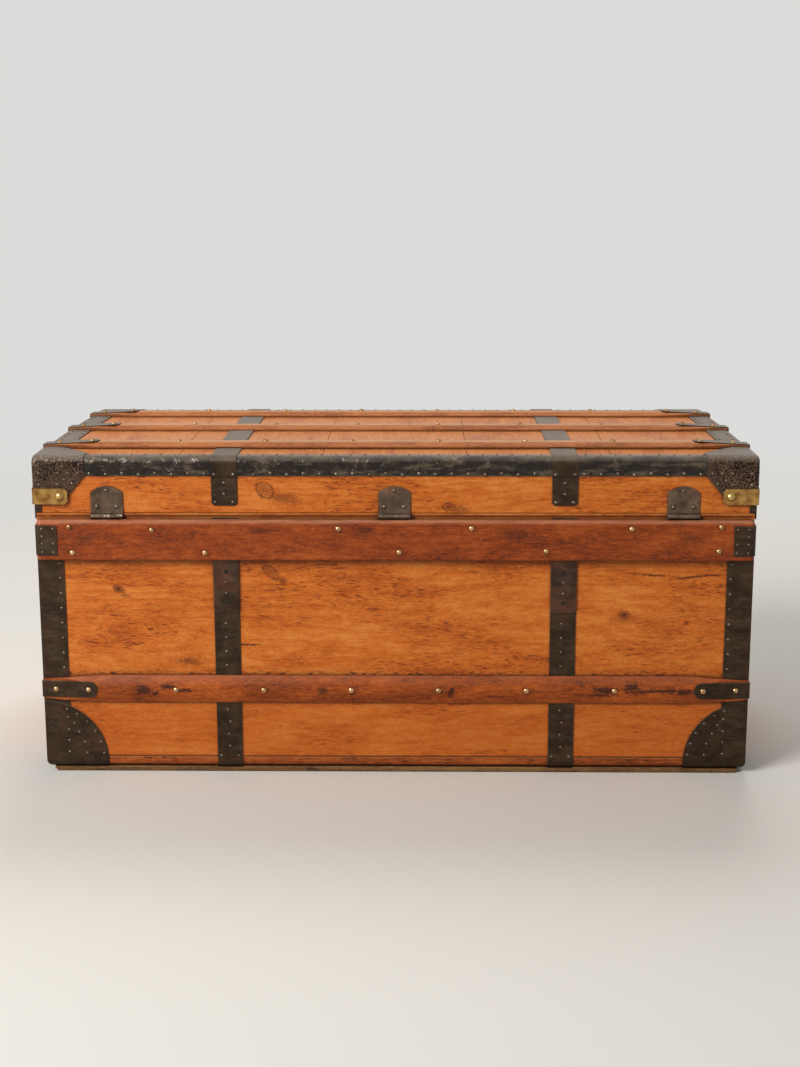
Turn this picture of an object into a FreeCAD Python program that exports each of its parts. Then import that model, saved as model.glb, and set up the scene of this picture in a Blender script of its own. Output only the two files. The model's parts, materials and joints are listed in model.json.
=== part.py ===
"""Slatted travel trunk with a slightly cambered lid.

Millimetres, +Z up. The hinge side faces -Y and the lock side +Y. The origin is on the floor, under the
middle of the trunk. Pieces on a face are drawn in that face's own frame: x to the right as seen from
outside, z up and -y outwards, so that one drawing serves the back, the front and both ends.
"""
import FreeCAD, Part
import math
import os
import re
import Sketcher

# Driving sizes
SIZES = {
    # wooden case
    "case_length": 898.0,
    "case_depth": 454.0,
    "wall": 12.0,
    "parting": 341.0,
    "floor_board": 13.5,
    "floor_round": 8.5,
    "skid_height": 7.0,
    "skid_width": 38.0,
    "skid_inset": 1.5,
    "skid_end": 7.0,
    "skid_slope": 5.0,
    # upper rail and slats
    "rail_height": 51.0,
    "rail_proud": 13.0,
    "rail_drop": 7.5,
    "rail_round": 6.0,
    "rail_foot_round": 3.0,
    "rail_corner": 7.0,
    "rail_gap": 1.0,
    "slat_width": 36.0,
    "slat_height": 9.0,
    "slat_shoulder": 3.0,
    "slat_tip_width": 25.0,
    "slat_tip": 3.2,
    "slat_taper": 75.0,
    "slat_level": 112.5,
    "lid_slat_height": 7.5,
    "lid_slat_shoulder": 2.5,
    "lid_slat_inset": 78.0,
    # sheet iron
    "sheet": 1.2,
    "seat": 0.05,
    "notch_play": 0.3,
    "cut_over": 1.0,
    "band_leg": 33.0,
    "band_stop": 6.0,
    "strap_width": 32.0,
    "strap_spacing": 425.0,
    "strap_foot": 40.0,
    "strap_top_gap": 6.0,
    "lap_level": 213.0,
    "cap_radius": 79.0,
    "cap_butt": 0.3,
    "plate_length": 28.0,
    "plate_height": 38.0,
    "clamp_length": 70.0,
    "clamp_width": 21.0,
    "clamp_drop": 30.0,
    # lid
    "lid_gap": 0.6,
    "lid_overhang": 1.5,
    "lid_side": 69.6,
    "lid_board": 9.0,
    "lid_board_count": 5,
    "lid_board_gap": 0.6,
    "camber": 3.0,
    "roll_round": 8.5,
    "edge_round": 3.0,
    "edge_stop": 5.0,
    "binding_drop": 23.2,
    "binding_flange": 14.0,
    "end_band_width": 30.0,
    "lid_cap_leg": 63.0,
    "lid_cap_toe": 33.0,
    "lid_cap_crop": 22.0,
    "lid_cap_foot": 11.0,
    "lid_strap_foot": 9.0,
    "strap_corner": 5.0,
    "strap_jog": 2.4,
    "clip_leg": 42.0,
    "clip_height": 20.0,
    "clip_level": 20.5,
    "clip_chamfer": 4.0,
    "rivet_radius": 5.5,
    "rivet_height": 3.0,
    "rivet_inset": 32.0,
    "lip_hang": 8.0,
    "lip_rise": 9.0,
    "lip_return": 8.0,
    # hinges
    "hinge_inset": 89.0,
    "hinge_drop": 4.0,
    "leaf_width": 40.0,
    "leaf_sheet": 1.4,
    "leaf_rise": 30.0,
    "leaf_arch": 8.0,
    "leaf_depth": 38.0,
    "pin_radius": 1.6,
    "pin_play": 0.05,
    "knuckle_clear": 0.3,
    "knuckle_gap": 0.3,
    "middle_knuckle": 14.0,
    # lock and catches
    "latch_level": 22.0,
    "latch_rise": 20.0,
    "latch_arch": 3.0,
    "latch_middle": 10.0,
    "case_thick": 11.0,
    "case_drop": 3.0,
    "case_corner": 6.0,
    "hasp_sheet": 2.0,
    "hasp_gap": 0.4,
    "hasp_round": 7.0,
    "staple_inset": 8.0,
    "staple_height": 12.0,
    "staple_reach": 9.8,
    "staple_play": 0.6,
    "lock_width": 64.0,
    "lock_height": 52.0,
    "lock_hasp_width": 34.0,
    "lock_hasp_length": 32.0,
    "lock_staple_width": 10.0,
    "catch_width": 42.0,
    "catch_height": 40.0,
    "catch_hasp_width": 26.0,
    "catch_hasp_length": 28.0,
    "catch_staple_width": 7.0,
    "catch_inset": 119.0,
    "bolt_thick": 3.0,
    "bolt_height": 7.0,
    "bolt_length": 25.0,
    "bolt_depth": 3.0,
    "bolt_play": 0.2,
    "eye_play": 0.4,
    "bolt_stand_off": 1.0,
    "key_radius": 2.6,
    "key_slot": 2.4,
    "key_drop": 7.0,
    "key_level": 12.0,
    # end handles
    "handle_level": 228.0,
    "handle_plate_length": 156.0,
    "handle_plate_height": 44.0,
    "handle_plate": 2.5,
    "handle_plate_corner": 12.0,
    "lug_play": 1.0,
    "lug_width": 10.0,
    "lug_reach": 9.0,
    "lug_radius": 8.0,
    "bail_radius": 4.0,
    "bail_play": 0.08,
    "bail_inner": 104.0,
    "bail_drop": 50.0,
    "bail_bend": 12.0,
    "bail_stub": 5.0,
}

# Places worked out from the driving sizes
PLACES = {
    "half_length": "case_length / 2",
    "half_depth": "case_depth / 2",
    "wall_foot": "skid_height + floor_board",
    "cap_level": "skid_height + floor_round",
    "band_reach": "half_length + sheet",
    "rail_top": "parting - rail_drop",
    "rail_foot": "rail_top - rail_height",
    "strap_place": "strap_spacing / 2",
    "lid_slat_place": "half_depth - lid_slat_inset",
    "hinge_place": "half_length - hinge_inset",
    "catch_place": "half_length - catch_inset",
    "lid_half": "half_length + lid_overhang",
    "lid_foot": "parting + lid_gap",
    "lid_shoulder": "lid_foot + lid_side",
    "crown_radius": "(half_depth * half_depth + camber * camber) / (2 * camber)",
    "crown_level": "lid_shoulder + camber - crown_radius",
    "binding_foot": "lid_shoulder - binding_drop",
    "lid_layer": "sheet + 2 * seat",
    "lid_cap_layer": "2 * sheet + 2 * seat",
    "knuckle_radius": "pin_radius + pin_play + leaf_sheet",
    "knuckle_out": "knuckle_clear + knuckle_radius",
    "hinge_level": "parting - hinge_drop",
    "latch_axis": "lid_foot + latch_level",
    "case_top": "parting - case_drop",
    "hasp_back": "case_thick + hasp_gap",
    "staple_top": "case_top - staple_inset",
    "bolt_level": "staple_top - staple_height / 2",
    "bail_leg": "bail_inner / 2 - bail_radius",
    "lug_place": "bail_leg + bail_bend + lug_play + lug_width / 2",
}
THROUGH = "2 * case_length"

WORD = re.compile(r"[a-z_]+")
NEAR = 1e-4

doc = FreeCAD.newDocument("trunk")
sheet = doc.addObject("Spreadsheet::Sheet", "sizes")
nodes = []


# Sizes and formulas
def fill_sheet():
    """Write each driving size to its own named cell."""
    for row, (name, size) in enumerate(SIZES.items(), start=1):
        sheet.set(f"A{row}", name)
        sheet.set(f"B{row}", str(size))
        sheet.setAlias(f"B{row}", name)
    doc.recompute()


def formula(text):
    """Write a formula's words out as cells of the sheet."""
    def cell(match):
        word = match.group(0)
        if word in PLACES:
            return "(" + formula(PLACES[word]) + ")"
        if word in SIZES:
            return "sizes." + word
        return word
    return WORD.sub(cell, text)


def value(text):
    """Give a formula's present value in millimetres."""
    return float(sheet.evalExpression(formula(text)))


def bind(item, name, text):
    """Tie one property of a document object to a formula."""
    item.setExpression(name, formula(text))


# Sketches
def arc_middle(start, end, radius, inward):
    """Give the middle of the short arc between two points."""
    chord = end - start
    half = chord.Length / 2
    rise = radius - math.sqrt(max(radius * radius - half * half, 0.0))
    right = FreeCAD.Vector(chord.y, -chord.x, 0).normalize()
    if inward:
        right = -right
    return (start + end) / 2 + right * rise


def pin_point(drawing, edge, end, place):
    """Hold one end of a sketch edge at a place given by two formulas."""
    for kind, axis, text in zip(("DistanceX", "DistanceY"), (-2, -1), place):
        if text == "0":
            drawing.addConstraint(Sketcher.Constraint("PointOnObject", edge, end, axis))
            continue
        index = drawing.addConstraint(Sketcher.Constraint(kind, -1, 1, edge, end, value(text)))
        bind(drawing, f"Constraints[{index}]", text)


def draw_loop(drawing, loop):
    """Draw a closed outline, anticlockwise. A third entry is the radius of the arc to the next point.

    A fourth entry, "inward", makes that arc hollow.
    """
    places = [FreeCAD.Vector(value(point[0]), value(point[1]), 0) for point in loop]
    ends = []
    for number, point in enumerate(loop):
        start = places[number]
        end = places[(number + 1) % len(loop)]
        if len(point) == 2:
            edge = drawing.addGeometry(Part.LineSegment(start, end))
            ends.append((edge, 1, 2))
            continue
        middle = arc_middle(start, end, value(point[2]), len(point) == 4)
        edge = drawing.addGeometry(Part.Arc(start, middle, end))
        forward = drawing.getPoint(edge, 1).distanceToPoint(start) < NEAR
        ends.append((edge, 1, 2) if forward else (edge, 2, 1))
    for number, (edge, _, last) in enumerate(ends):
        following, first, _ = ends[(number + 1) % len(ends)]
        drawing.addConstraint(Sketcher.Constraint("Coincident", edge, last, following, first))
    for (edge, first, _), point in zip(ends, loop):
        pin_point(drawing, edge, first, point[:2])
        if len(point) > 2:
            index = drawing.addConstraint(Sketcher.Constraint("Radius", edge, value(point[2])))
            bind(drawing, f"Constraints[{index}]", point[2])


def draw_circle(drawing, place, radius):
    """Draw a circle at a place given by two formulas."""
    middle = FreeCAD.Vector(value(place[0]), value(place[1]), 0)
    edge = drawing.addGeometry(Part.Circle(middle, FreeCAD.Vector(0, 0, 1), value(radius)))
    pin_point(drawing, edge, 3, place)
    index = drawing.addConstraint(Sketcher.Constraint("Radius", edge, value(radius)))
    bind(drawing, f"Constraints[{index}]", radius)


def rectangle(left, foot, right, top):
    """Give the outline of a rectangle."""
    return [(left, foot), (right, foot), (right, top), (left, top)]


def new_sketch(body, plane, offset):
    """Add an empty sketch on one of the body's own planes, moved along its normal."""
    drawing = body.newObject("Sketcher::SketchObject", body.Name + "_sketch")
    support = next(item for item in body.Origin.OriginFeatures if item.Role == plane + "_Plane")
    drawing.AttachmentSupport = [(support, "")]
    drawing.MapMode = "FlatFace"
    if offset != "0":
        bind(drawing, "AttachmentOffset.Base.z", offset)
    return drawing


def outline(body, plane, loops, offset="0"):
    """Add a sketch of one or more closed outlines."""
    drawing = new_sketch(body, plane, offset)
    for loop in loops:
        draw_loop(drawing, loop)
    return drawing


def ring(body, plane, place, radius, offset="0"):
    """Add a sketch of one circle."""
    drawing = new_sketch(body, plane, offset)
    draw_circle(drawing, place, radius)
    return drawing


# Features
def pad(body, drawing, length, symmetric=False, reverse=False):
    """Raise a solid from a sketch."""
    feature = body.newObject("PartDesign::Pad", body.Name + "_pad")
    feature.Profile = drawing
    feature.SideType = "Symmetric" if symmetric else "One side"
    feature.Reversed = reverse
    bind(feature, "Length", length)
    doc.recompute()
    return feature


def pocket(body, drawing, length, symmetric=False, reverse=False):
    """Cut a sketch out of the body, and see that the cut took something away."""
    before = body.Shape.Volume
    feature = body.newObject("PartDesign::Pocket", body.Name + "_pocket")
    feature.Profile = drawing
    feature.SideType = "Symmetric" if symmetric else "One side"
    feature.Reversed = reverse
    bind(feature, "Length", length)
    doc.recompute()
    if body.Shape.Volume > before - NEAR:
        raise RuntimeError(f"{body.Label}: a pocket cut nothing")
    return feature


def edges_at(shape, **places):
    """List the names of the edges whose ends all lie at the given coordinates."""
    found = []
    for number, edge in enumerate(shape.Edges, start=1):
        corners = [vertex.Point for vertex in edge.Vertexes]
        inside = [abs(getattr(corner, axis) - value(text)) < NEAR for corner in corners
                  for axis, text in places.items()]
        if inside and all(inside):
            found.append(f"Edge{number}")
    return found


def round_edges(body, radius, names):
    """Round the named edges of the body's last feature."""
    if not names:
        raise RuntimeError(f"{body.Label}: no edge to round")
    base = body.Tip
    feature = body.newObject("PartDesign::Fillet", body.Name + "_fillet")
    feature.Base = (base, names)
    bind(feature, "Radius", radius)
    doc.recompute()


def chamfer_edges(body, size, names):
    """Cut the named edges of the body's last feature off at 45 degrees."""
    if not names:
        raise RuntimeError(f"{body.Label}: no edge to chamfer")
    base = body.Tip
    feature = body.newObject("PartDesign::Chamfer", body.Name + "_chamfer")
    feature.Base = (base, names)
    bind(feature, "Size", size)
    doc.recompute()


# Placing
FACES = {
    "back": (0, "0", "-half_depth"),
    "right": (90, "half_length", "0"),
    "front": (180, "0", "half_depth"),
    "left": (270, "-half_length", "0"),
}
CORNERS = {
    "back_left": (0, "-1", "-1"),
    "back_right": (90, "1", "-1"),
    "front_right": (180, "1", "1"),
    "front_left": (270, "-1", "1"),
}
UPRIGHT = FreeCAD.Vector(0, 0, 1)


def new_body(label):
    """Add an empty body."""
    body = doc.addObject("PartDesign::Body", label)
    body.Label = label
    return body


def place(item, x="0", y="0", z="0", turn=None):
    """Set an object's turn, then tie its position to formulas."""
    if turn is not None:
        item.Placement = FreeCAD.Placement(FreeCAD.Vector(), turn)
    for axis, text in zip("xyz", (x, y, z)):
        if text != "0":
            bind(item, "Placement.Base." + axis, text)


def place_on_face(item, face, z="0"):
    """Put an object drawn in a face's frame on that face of the case."""
    angle, x, y = FACES[face]
    place(item, x, y, z, FreeCAD.Rotation(UPRIGHT, angle))


def keep(item):
    """Note an object as a node of its own."""
    nodes.append(item)
    return item


def group(label, pieces):
    """Gather like pieces, still separate solids, under one node."""
    bunch = doc.addObject("Part::Compound", label)
    bunch.Label = label
    bunch.Links = pieces
    return keep(bunch)


def box(label, low, size):
    """Add a box by its lowest corner and its three sides, all formulas."""
    item = doc.addObject("Part::Box", label)
    item.Label = label
    for name, text in zip(("Length", "Width", "Height"), size):
        bind(item, name, text)
    place(item, *low)
    return item


def boolean(kind, label, base, tool):
    """Cut, fuse or intersect two objects."""
    item = doc.addObject("Part::" + kind, label)
    item.Label = label
    item.Base = base
    item.Tool = tool
    return item


def mirrored(label, source, normal):
    """Add a mirror image of an object through the trunk's middle."""
    item = doc.addObject("Part::Mirroring", label)
    item.Label = label
    item.Source = source
    item.Base = FreeCAD.Vector()
    item.Normal = normal
    return item


# Wooden case
def build_case():
    """Four walls nailed together at the corners, on a bottom board with two skids."""
    height = "parting - wall_foot"
    inner = "case_depth - 2 * wall"
    side_size = ("case_length", "wall", height)
    keep(box("base_back_board", ("-half_length", "-half_depth", "wall_foot"), side_size))
    keep(box("base_front_board", ("-half_length", "half_depth - wall", "wall_foot"), side_size))
    end_size = ("wall", inner, height)
    keep(box("base_left_end_board", ("-half_length", "wall - half_depth", "wall_foot"), end_size))
    keep(box("base_right_end_board", ("half_length - wall", "wall - half_depth", "wall_foot"), end_size))
    floor = keep(new_body("bottom_board"))
    plan = rectangle("-half_length", "-half_depth", "half_length", "half_depth")
    pad(floor, outline(floor, "XY", [plan], "skid_height"), "floor_board")
    round_edges(floor, "floor_round", edges_at(floor.Tip.Shape, z="skid_height"))
    for face in ("back", "front"):
        build_skid(face)


def build_skid(face):
    """A runner with sloped ends, let in over the caps and strap feet that wrap under the bottom."""
    body = keep(new_body(face + "_skid"))
    end = "half_length - skid_end"
    side = [
        (f"skid_slope - ({end})", "0"),
        (f"{end} - skid_slope", "0"),
        (end, "skid_height"),
        (f"-({end})", "skid_height"),
    ]
    pad(body, outline(body, "XZ", [side], "-skid_inset"), "skid_width", reverse=True)
    low = "skid_height - sheet - seat"
    high = "skid_height + sheet"
    inner = "half_length - cap_radius - notch_play"
    notches = [
        rectangle(f"-({end}) - sheet", low, f"-({inner})", high),
        rectangle(inner, low, f"{end} + sheet", high),
    ]
    notches += strap_notches(low, high)
    pocket(body, outline(body, "XZ", notches), THROUGH, symmetric=True)
    place_on_face(body, face)


# Rails and slats
def strap_notches(low, high):
    """Outlines of the two straps where they pass under a batten."""
    return [rectangle(f"{side}strap_place - strap_width / 2 - notch_play", low,
                      f"{side}strap_place + strap_width / 2 + notch_play", high) for side in ("-", "")]


def band_notches(low, high, end, band):
    """Outlines of the two bands at the ends of a batten."""
    inner = f"{end} - ({band}) - notch_play"
    outer = f"{end} + cut_over"
    return [rectangle(f"-({outer})", low, f"-({inner})", high), rectangle(inner, low, outer, high)]


def build_rail(label, face, left, right, notches, leaves=()):
    """A wide batten under the parting line, hollowed behind for the iron that it covers."""
    body = keep(new_body(label))
    pad(body, outline(body, "XZ", [rectangle(left, "rail_foot", right, "rail_top")]), "rail_proud")
    ends = edges_at(body.Tip.Shape, x="-half_length", y="-rail_proud")
    ends += edges_at(body.Tip.Shape, x="half_length", y="-rail_proud")
    if ends:
        round_edges(body, "rail_corner", ends)
    round_edges(body, "rail_round", edges_at(body.Tip.Shape, y="-rail_proud", z="rail_top"))
    round_edges(body, "rail_foot_round", edges_at(body.Tip.Shape, y="-rail_proud", z="rail_foot"))
    pocket(body, outline(body, "XZ", notches), "sheet", reverse=True)
    if leaves:
        loops = [rectangle(f"{x} - leaf_width / 2 - notch_play", "hinge_level - leaf_depth - notch_play",
                           f"{x} + leaf_width / 2 + notch_play", "rail_top + cut_over") for x in leaves]
        pocket(body, outline(body, "XZ", loops), "leaf_sheet + seat", reverse=True)
    place_on_face(body, face)


def build_rails():
    """The back rail runs right across. The front rail is broken by the lock and the two catches."""
    low = "rail_foot - cut_over"
    high = "rail_top + cut_over"
    straps = strap_notches(low, high)
    bands = band_notches(low, high, "band_reach", "band_leg")
    build_rail("back_upper_rail", "back", "-half_length", "half_length", straps + bands,
               ("-hinge_place", "0", "hinge_place"))
    lock_edge = "lock_width / 2 + rail_gap"
    catch_inner = "catch_place - catch_width / 2 - rail_gap"
    catch_outer = "catch_place + catch_width / 2 + rail_gap"
    build_rail("front_upper_rail_outer_right", "front", "-half_length", f"-({catch_outer})", bands[:1])
    build_rail("front_upper_rail_inner_right", "front", f"-({catch_inner})", f"-({lock_edge})", straps[:1])
    build_rail("front_upper_rail_inner_left", "front", lock_edge, catch_inner, straps[1:])
    build_rail("front_upper_rail_outer_left", "front", catch_outer, "half_length", bands[1:])


def build_slat(label, end, band, kind):
    """A crowned batten, tapered in width and height towards its ends, notched over the straps and end bands."""
    body = keep(new_body(label))
    height = f"{kind}_height"
    shoulder = f"{kind}_shoulder"
    bow = f"({height} - {shoulder})"
    section = [
        ("0", "-slat_width / 2"),
        ("0", "slat_width / 2"),
        (f"-{shoulder}", "slat_width / 2", f"(slat_width * slat_width / 4 + {bow} * {bow}) / (2 * {bow})"),
        (f"-{shoulder}", "-slat_width / 2"),
    ]
    pad(body, outline(body, "YZ", [section]), f"2 * ({end})", symmetric=True)
    past = f"{end} + cut_over"
    start = f"{end} - slat_taper"
    flank = [(start, "slat_width / 2"), (past, "slat_tip_width / 2"), (past, "slat_width")]
    flanks = [flank, opposite(flank)]
    flanks += [[(x, f"-({z})") for x, z in loop] for loop in flanks]
    pocket(body, outline(body, "XZ", flanks), THROUGH, symmetric=True)
    over = f"-{height} - cut_over"
    slope = [(start, f"-{height}"), (start, over), (past, over), (past, "-slat_tip"), (end, "-slat_tip")]
    pocket(body, outline(body, "XY", [slope, opposite(slope)]), THROUGH, symmetric=True)
    low = "-slat_width"
    high = "slat_width"
    notches = strap_notches(low, high) + band_notches(low, high, end, band)
    pocket(body, outline(body, "XZ", notches), "sheet + 2 * seat", reverse=True)
    return body


def build_clamp(label, end, kind):
    """A tongue of sheet iron down the slope of a slat's end, bent over the edge."""
    body = new_body(label)
    fall = f"({kind}_height - slat_tip) / slat_taper"
    inner = f"{end} - clamp_length"
    far = f"{end} + seat"
    outer = f"{far} + sheet"
    under = "slat_tip + seat"
    over = f"{under} + sheet"
    knee = f"-({over} - {fall} * (seat + sheet))"
    profile = [
        (inner, f"-({over} + {fall} * clamp_length)"),
        (outer, knee),
        (outer, "clamp_drop"),
        (far, "clamp_drop"),
        (far, f"-({under} - {fall} * seat)"),
        (inner, f"-({under} + {fall} * clamp_length)"),
    ]
    pad(body, outline(body, "XY", [profile]), "clamp_width", symmetric=True)
    corners = []
    for side in ("clamp_width / 2", "-clamp_width / 2"):
        corners += edges_at(body.Tip.Shape, x=inner, z=side)
        corners += edges_at(body.Tip.Shape, y="clamp_drop", z=side)
    round_edges(body, "clamp_width / 2 - sheet", corners)
    round_edges(body, "sheet", edges_at(body.Tip.Shape, x=outer, y=knee))
    return body


TURN_OVER = FreeCAD.Rotation(FreeCAD.Vector(0, 1, 0), 180)
LIE_FLAT = FreeCAD.Rotation(FreeCAD.Vector(1, 0, 0), -90)


def build_base_slats():
    """The lower slats on the back and the front, each with a clamp at both ends."""
    clamps = []
    for face in ("back", "front"):
        slat = build_slat(face + "_lower_slat", "band_reach", "band_leg", "slat")
        place_on_face(slat, face, "slat_level")
        angle, x, y = FACES[face]
        for number, turn in enumerate((FreeCAD.Rotation(), TURN_OVER)):
            clamp = build_clamp(f"slat_clamp_{face}_{number}", "band_reach", "slat")
            place(clamp, x, y, "slat_level", FreeCAD.Rotation(UPRIGHT, angle) * turn)
            clamps.append(clamp)
    group("slat_end_clamps", clamps)


def build_lid_slats():
    """Three slats along the top of the lid, each with a clamp at both ends."""
    end = "lid_half + sheet + seat"
    inner = "lid_slat_place - slat_width / 2"
    side_level = f"crown_level + sqrt(crown_radius * crown_radius - ({inner}) * ({inner})) + seat"
    rows = [
        ("lid_back_slat", "-lid_slat_place", side_level),
        ("lid_middle_slat", "0", "lid_shoulder + camber + seat"),
        ("lid_front_slat", "lid_slat_place", side_level),
    ]
    clamps = []
    for label, y, z in rows:
        slat = build_slat(label, end, "end_band_width + sheet + seat", "lid_slat")
        place(slat, "0", y, z, LIE_FLAT)
        for number, turn in enumerate((FreeCAD.Rotation(), TURN_OVER)):
            clamp = build_clamp(f"{label}_clamp_{number}", end, "lid_slat")
            place(clamp, "0", y, z, LIE_FLAT * turn)
            clamps.append(clamp)
    group("lid_slat_clamps", clamps)


# Iron on the base
def case_hull(label, grow):
    """The outside of the case with its rounded bottom edges, grown by a layer."""
    low = (f"-half_length - ({grow})", f"-half_depth - ({grow})", f"skid_height - ({grow})")
    size = (f"case_length + 2 * ({grow})", f"case_depth + 2 * ({grow})", f"parting - skid_height + {grow}")
    hull = box(label + "_block", low, size)
    doc.recompute()
    rounded = doc.addObject("Part::Fillet", label)
    rounded.Base = hull
    radius = value(f"floor_round + {grow}")
    names = edges_at(hull.Shape, z=f"skid_height - ({grow})")
    rounded.Edges = [(int(name.removeprefix("Edge")), radius, radius) for name in names]
    doc.recompute()
    return rounded


def build_base_caps():
    """Pressed corner caps: a sheet drawn round the case's corner and trimmed to a round edge."""
    shell = boolean("Cut", "base_cap_shell", case_hull("base_cap_outside", "sheet"),
                    case_hull("base_cap_inside", "0"))
    trim = doc.addObject("Part::Sphere", "base_cap_trim")
    bind(trim, "Radius", "cap_radius")
    place(trim, "-half_length", "-half_depth", "cap_level")
    first = keep(boolean("Common", "base_corner_cap_back_left", shell, trim))
    doc.recompute()
    along = FreeCAD.Vector(1, 0, 0)
    across = FreeCAD.Vector(0, 1, 0)
    right = keep(mirrored("base_corner_cap_back_right", first, along))
    keep(mirrored("base_corner_cap_front_left", first, across))
    keep(mirrored("base_corner_cap_front_right", right, across))


def build_corner_bands():
    """Angle bands up the four edges, from the corner caps to a little below the rails' tops."""
    for corner, (angle, x, y) in CORNERS.items():
        body = keep(new_body("corner_band_" + corner))
        section = [
            ("-sheet", "-sheet"),
            ("band_leg - sheet", "-sheet"),
            ("band_leg - sheet", "0"),
            ("0", "0"),
            ("0", "band_leg - sheet"),
            ("-sheet", "band_leg - sheet"),
        ]
        pad(body, outline(body, "XY", [section], "skid_height"), "rail_top - band_stop - skid_height")
        ball = body.newObject("PartDesign::SubtractiveSphere", "cap_clearance")
        bind(ball, "Radius", "cap_radius + cap_butt")
        bind(ball, "Placement.Base.z", "cap_level")
        doc.recompute()
        place(body, f"{x} * half_length", f"{y} * half_depth", "0", FreeCAD.Rotation(UPRIGHT, angle))


def build_base_straps():
    """Straps up the back and the front that hook under the bottom, with a worn plate lapped over each."""
    plates = []
    for face in ("back", "front"):
        straps = []
        for side, sign in (("left", "-"), ("right", "")):
            strap = new_body(f"{face}_strap_{side}")
            left = f"{sign}strap_place - strap_width / 2"
            right = f"{sign}strap_place + strap_width / 2"
            flank = [
                ("0", "parting - strap_top_gap"),
                ("-sheet", "parting - strap_top_gap"),
                ("-sheet", "skid_height + floor_round", "floor_round + sheet"),
                ("floor_round", "skid_height - sheet"),
                ("strap_foot", "skid_height - sheet"),
                ("strap_foot", "skid_height"),
                ("floor_round", "skid_height", "floor_round", "inward"),
                ("0", "skid_height + floor_round"),
            ]
            pad(strap, outline(strap, "YZ", [flank], left), "strap_width")
            place_on_face(strap, face)
            straps.append(strap)
            plate = new_body(f"{face}_strap_plate_{side}")
            face_outline = [
                (f"{left} + strap_corner", "lap_level"),
                (f"{right} - strap_corner", "lap_level", "strap_corner"),
                (right, "lap_level + strap_corner"),
                (right, "rail_foot - seat"),
                (left, "rail_foot - seat"),
                (left, "lap_level + strap_corner", "strap_corner"),
            ]
            pad(plate, outline(plate, "XZ", [face_outline], "sheet"), "sheet")
            place_on_face(plate, face)
            plates.append(plate)
        group(face + "_straps", straps)
    group("strap_top_plates", plates)


def build_rail_plates():
    """Plates bent round the four ends of the upper rails, from the face to the corner band."""
    plates = []
    foot = "rail_foot + (rail_height - plate_height) / 2"
    inner = "band_reach - plate_length"
    turn = "half_length - rail_corner"
    side = "rail_corner - rail_proud"
    band = "-sheet - seat"
    bend = [
        (inner, "-rail_proud - sheet"),
        (turn, "-rail_proud - sheet", "rail_corner + sheet"),
        ("band_reach", side),
        ("band_reach", band),
        ("half_length", band),
        ("half_length", side, "rail_corner", "inward"),
        (turn, "-rail_proud"),
        (inner, "-rail_proud"),
    ]
    for face in ("back", "front"):
        for hand, loop in (("right", bend), ("left", opposite(backwards(bend)))):
            body = new_body(f"rail_plate_{face}_{hand}")
            pad(body, outline(body, "XY", [loop], foot), "plate_height")
            place_on_face(body, face)
            plates.append(body)
    group("rail_end_plates", plates)


# Lid
def rolled(grow):
    """Formulas for a long edge of the lid, rolled over at a layer of its thickness.

    They give the side, the crown's radius, the roll's radius and foot, and where the roll meets the crown.
    """
    crown = f"(crown_radius + {grow})"
    middle = "(half_depth - roll_round)"
    reach = "(crown_radius - roll_round)"
    foot = f"crown_level + sqrt({reach} * {reach} - {middle} * {middle})"
    meet = f"({middle} * {crown} / {reach})"
    top = f"crown_level + sqrt({crown} * {crown} - {meet} * {meet})"
    return f"half_depth + {grow}", crown, f"roll_round + {grow}", foot, meet, top


def lid_hull(label, grow):
    """The outside of the lid with its camber, rolled long edges and rounded ends, grown by a layer."""
    body = new_body(label)
    side, crown, bend, foot, meet, top = rolled(grow)
    section = [
        (f"-({side})", "lid_foot"),
        (side, "lid_foot"),
        (side, foot, bend),
        (meet, top, crown),
        (f"-{meet}", top, bend),
        (f"-({side})", foot),
    ]
    pad(body, outline(body, "YZ", [section]), f"2 * (lid_half + {grow})", symmetric=True)
    shape = body.Tip.Shape
    ends = edges_at(shape, x=f"lid_half + {grow}") + edges_at(shape, x=f"-(lid_half + {grow})")
    above = value("lid_foot + cut_over")
    names = [name for name in ends if shape.getElement(name).BoundBox.ZMax > above]
    round_edges(body, f"edge_round + {grow}", names)
    return body


def build_lid_boards():
    """A shallow tray of four boards, closed by boards that run from front to back under a slight camber."""
    outside = lid_hull("lid_outside", "0")
    top = "lid_shoulder - lid_board"
    height = "lid_side - lid_board"
    length = "2 * (lid_half)"
    for face, y in (("back", "-half_depth"), ("front", "half_depth - wall")):
        plank = box(f"lid_{face}_plank", ("-(lid_half)", y, "lid_foot"), (length, "wall", height))
        keep(boolean("Common", f"lid_{face}_board", plank, outside))
    end_size = ("wall", "case_depth - 2 * wall", height)
    keep(box("lid_left_end_board", ("-(lid_half)", "wall - half_depth", "lid_foot"), end_size))
    keep(box("lid_right_end_board", ("lid_half - wall", "wall - half_depth", "lid_foot"), end_size))
    boards = []
    pitch = f"({length} + lid_board_gap) / lid_board_count"
    for number in range(round(value("lid_board_count"))):
        start = f"{number} * {pitch} - lid_half"
        size = (f"{pitch} - lid_board_gap", "case_depth", "lid_board + camber + cut_over")
        plank = box(f"lid_top_plank_{number + 1}", (start, "-half_depth", top), size)
        boards.append(boolean("Common", f"lid_top_board_{number + 1}", plank, outside))
    group("lid_top_boards", boards)


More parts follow.
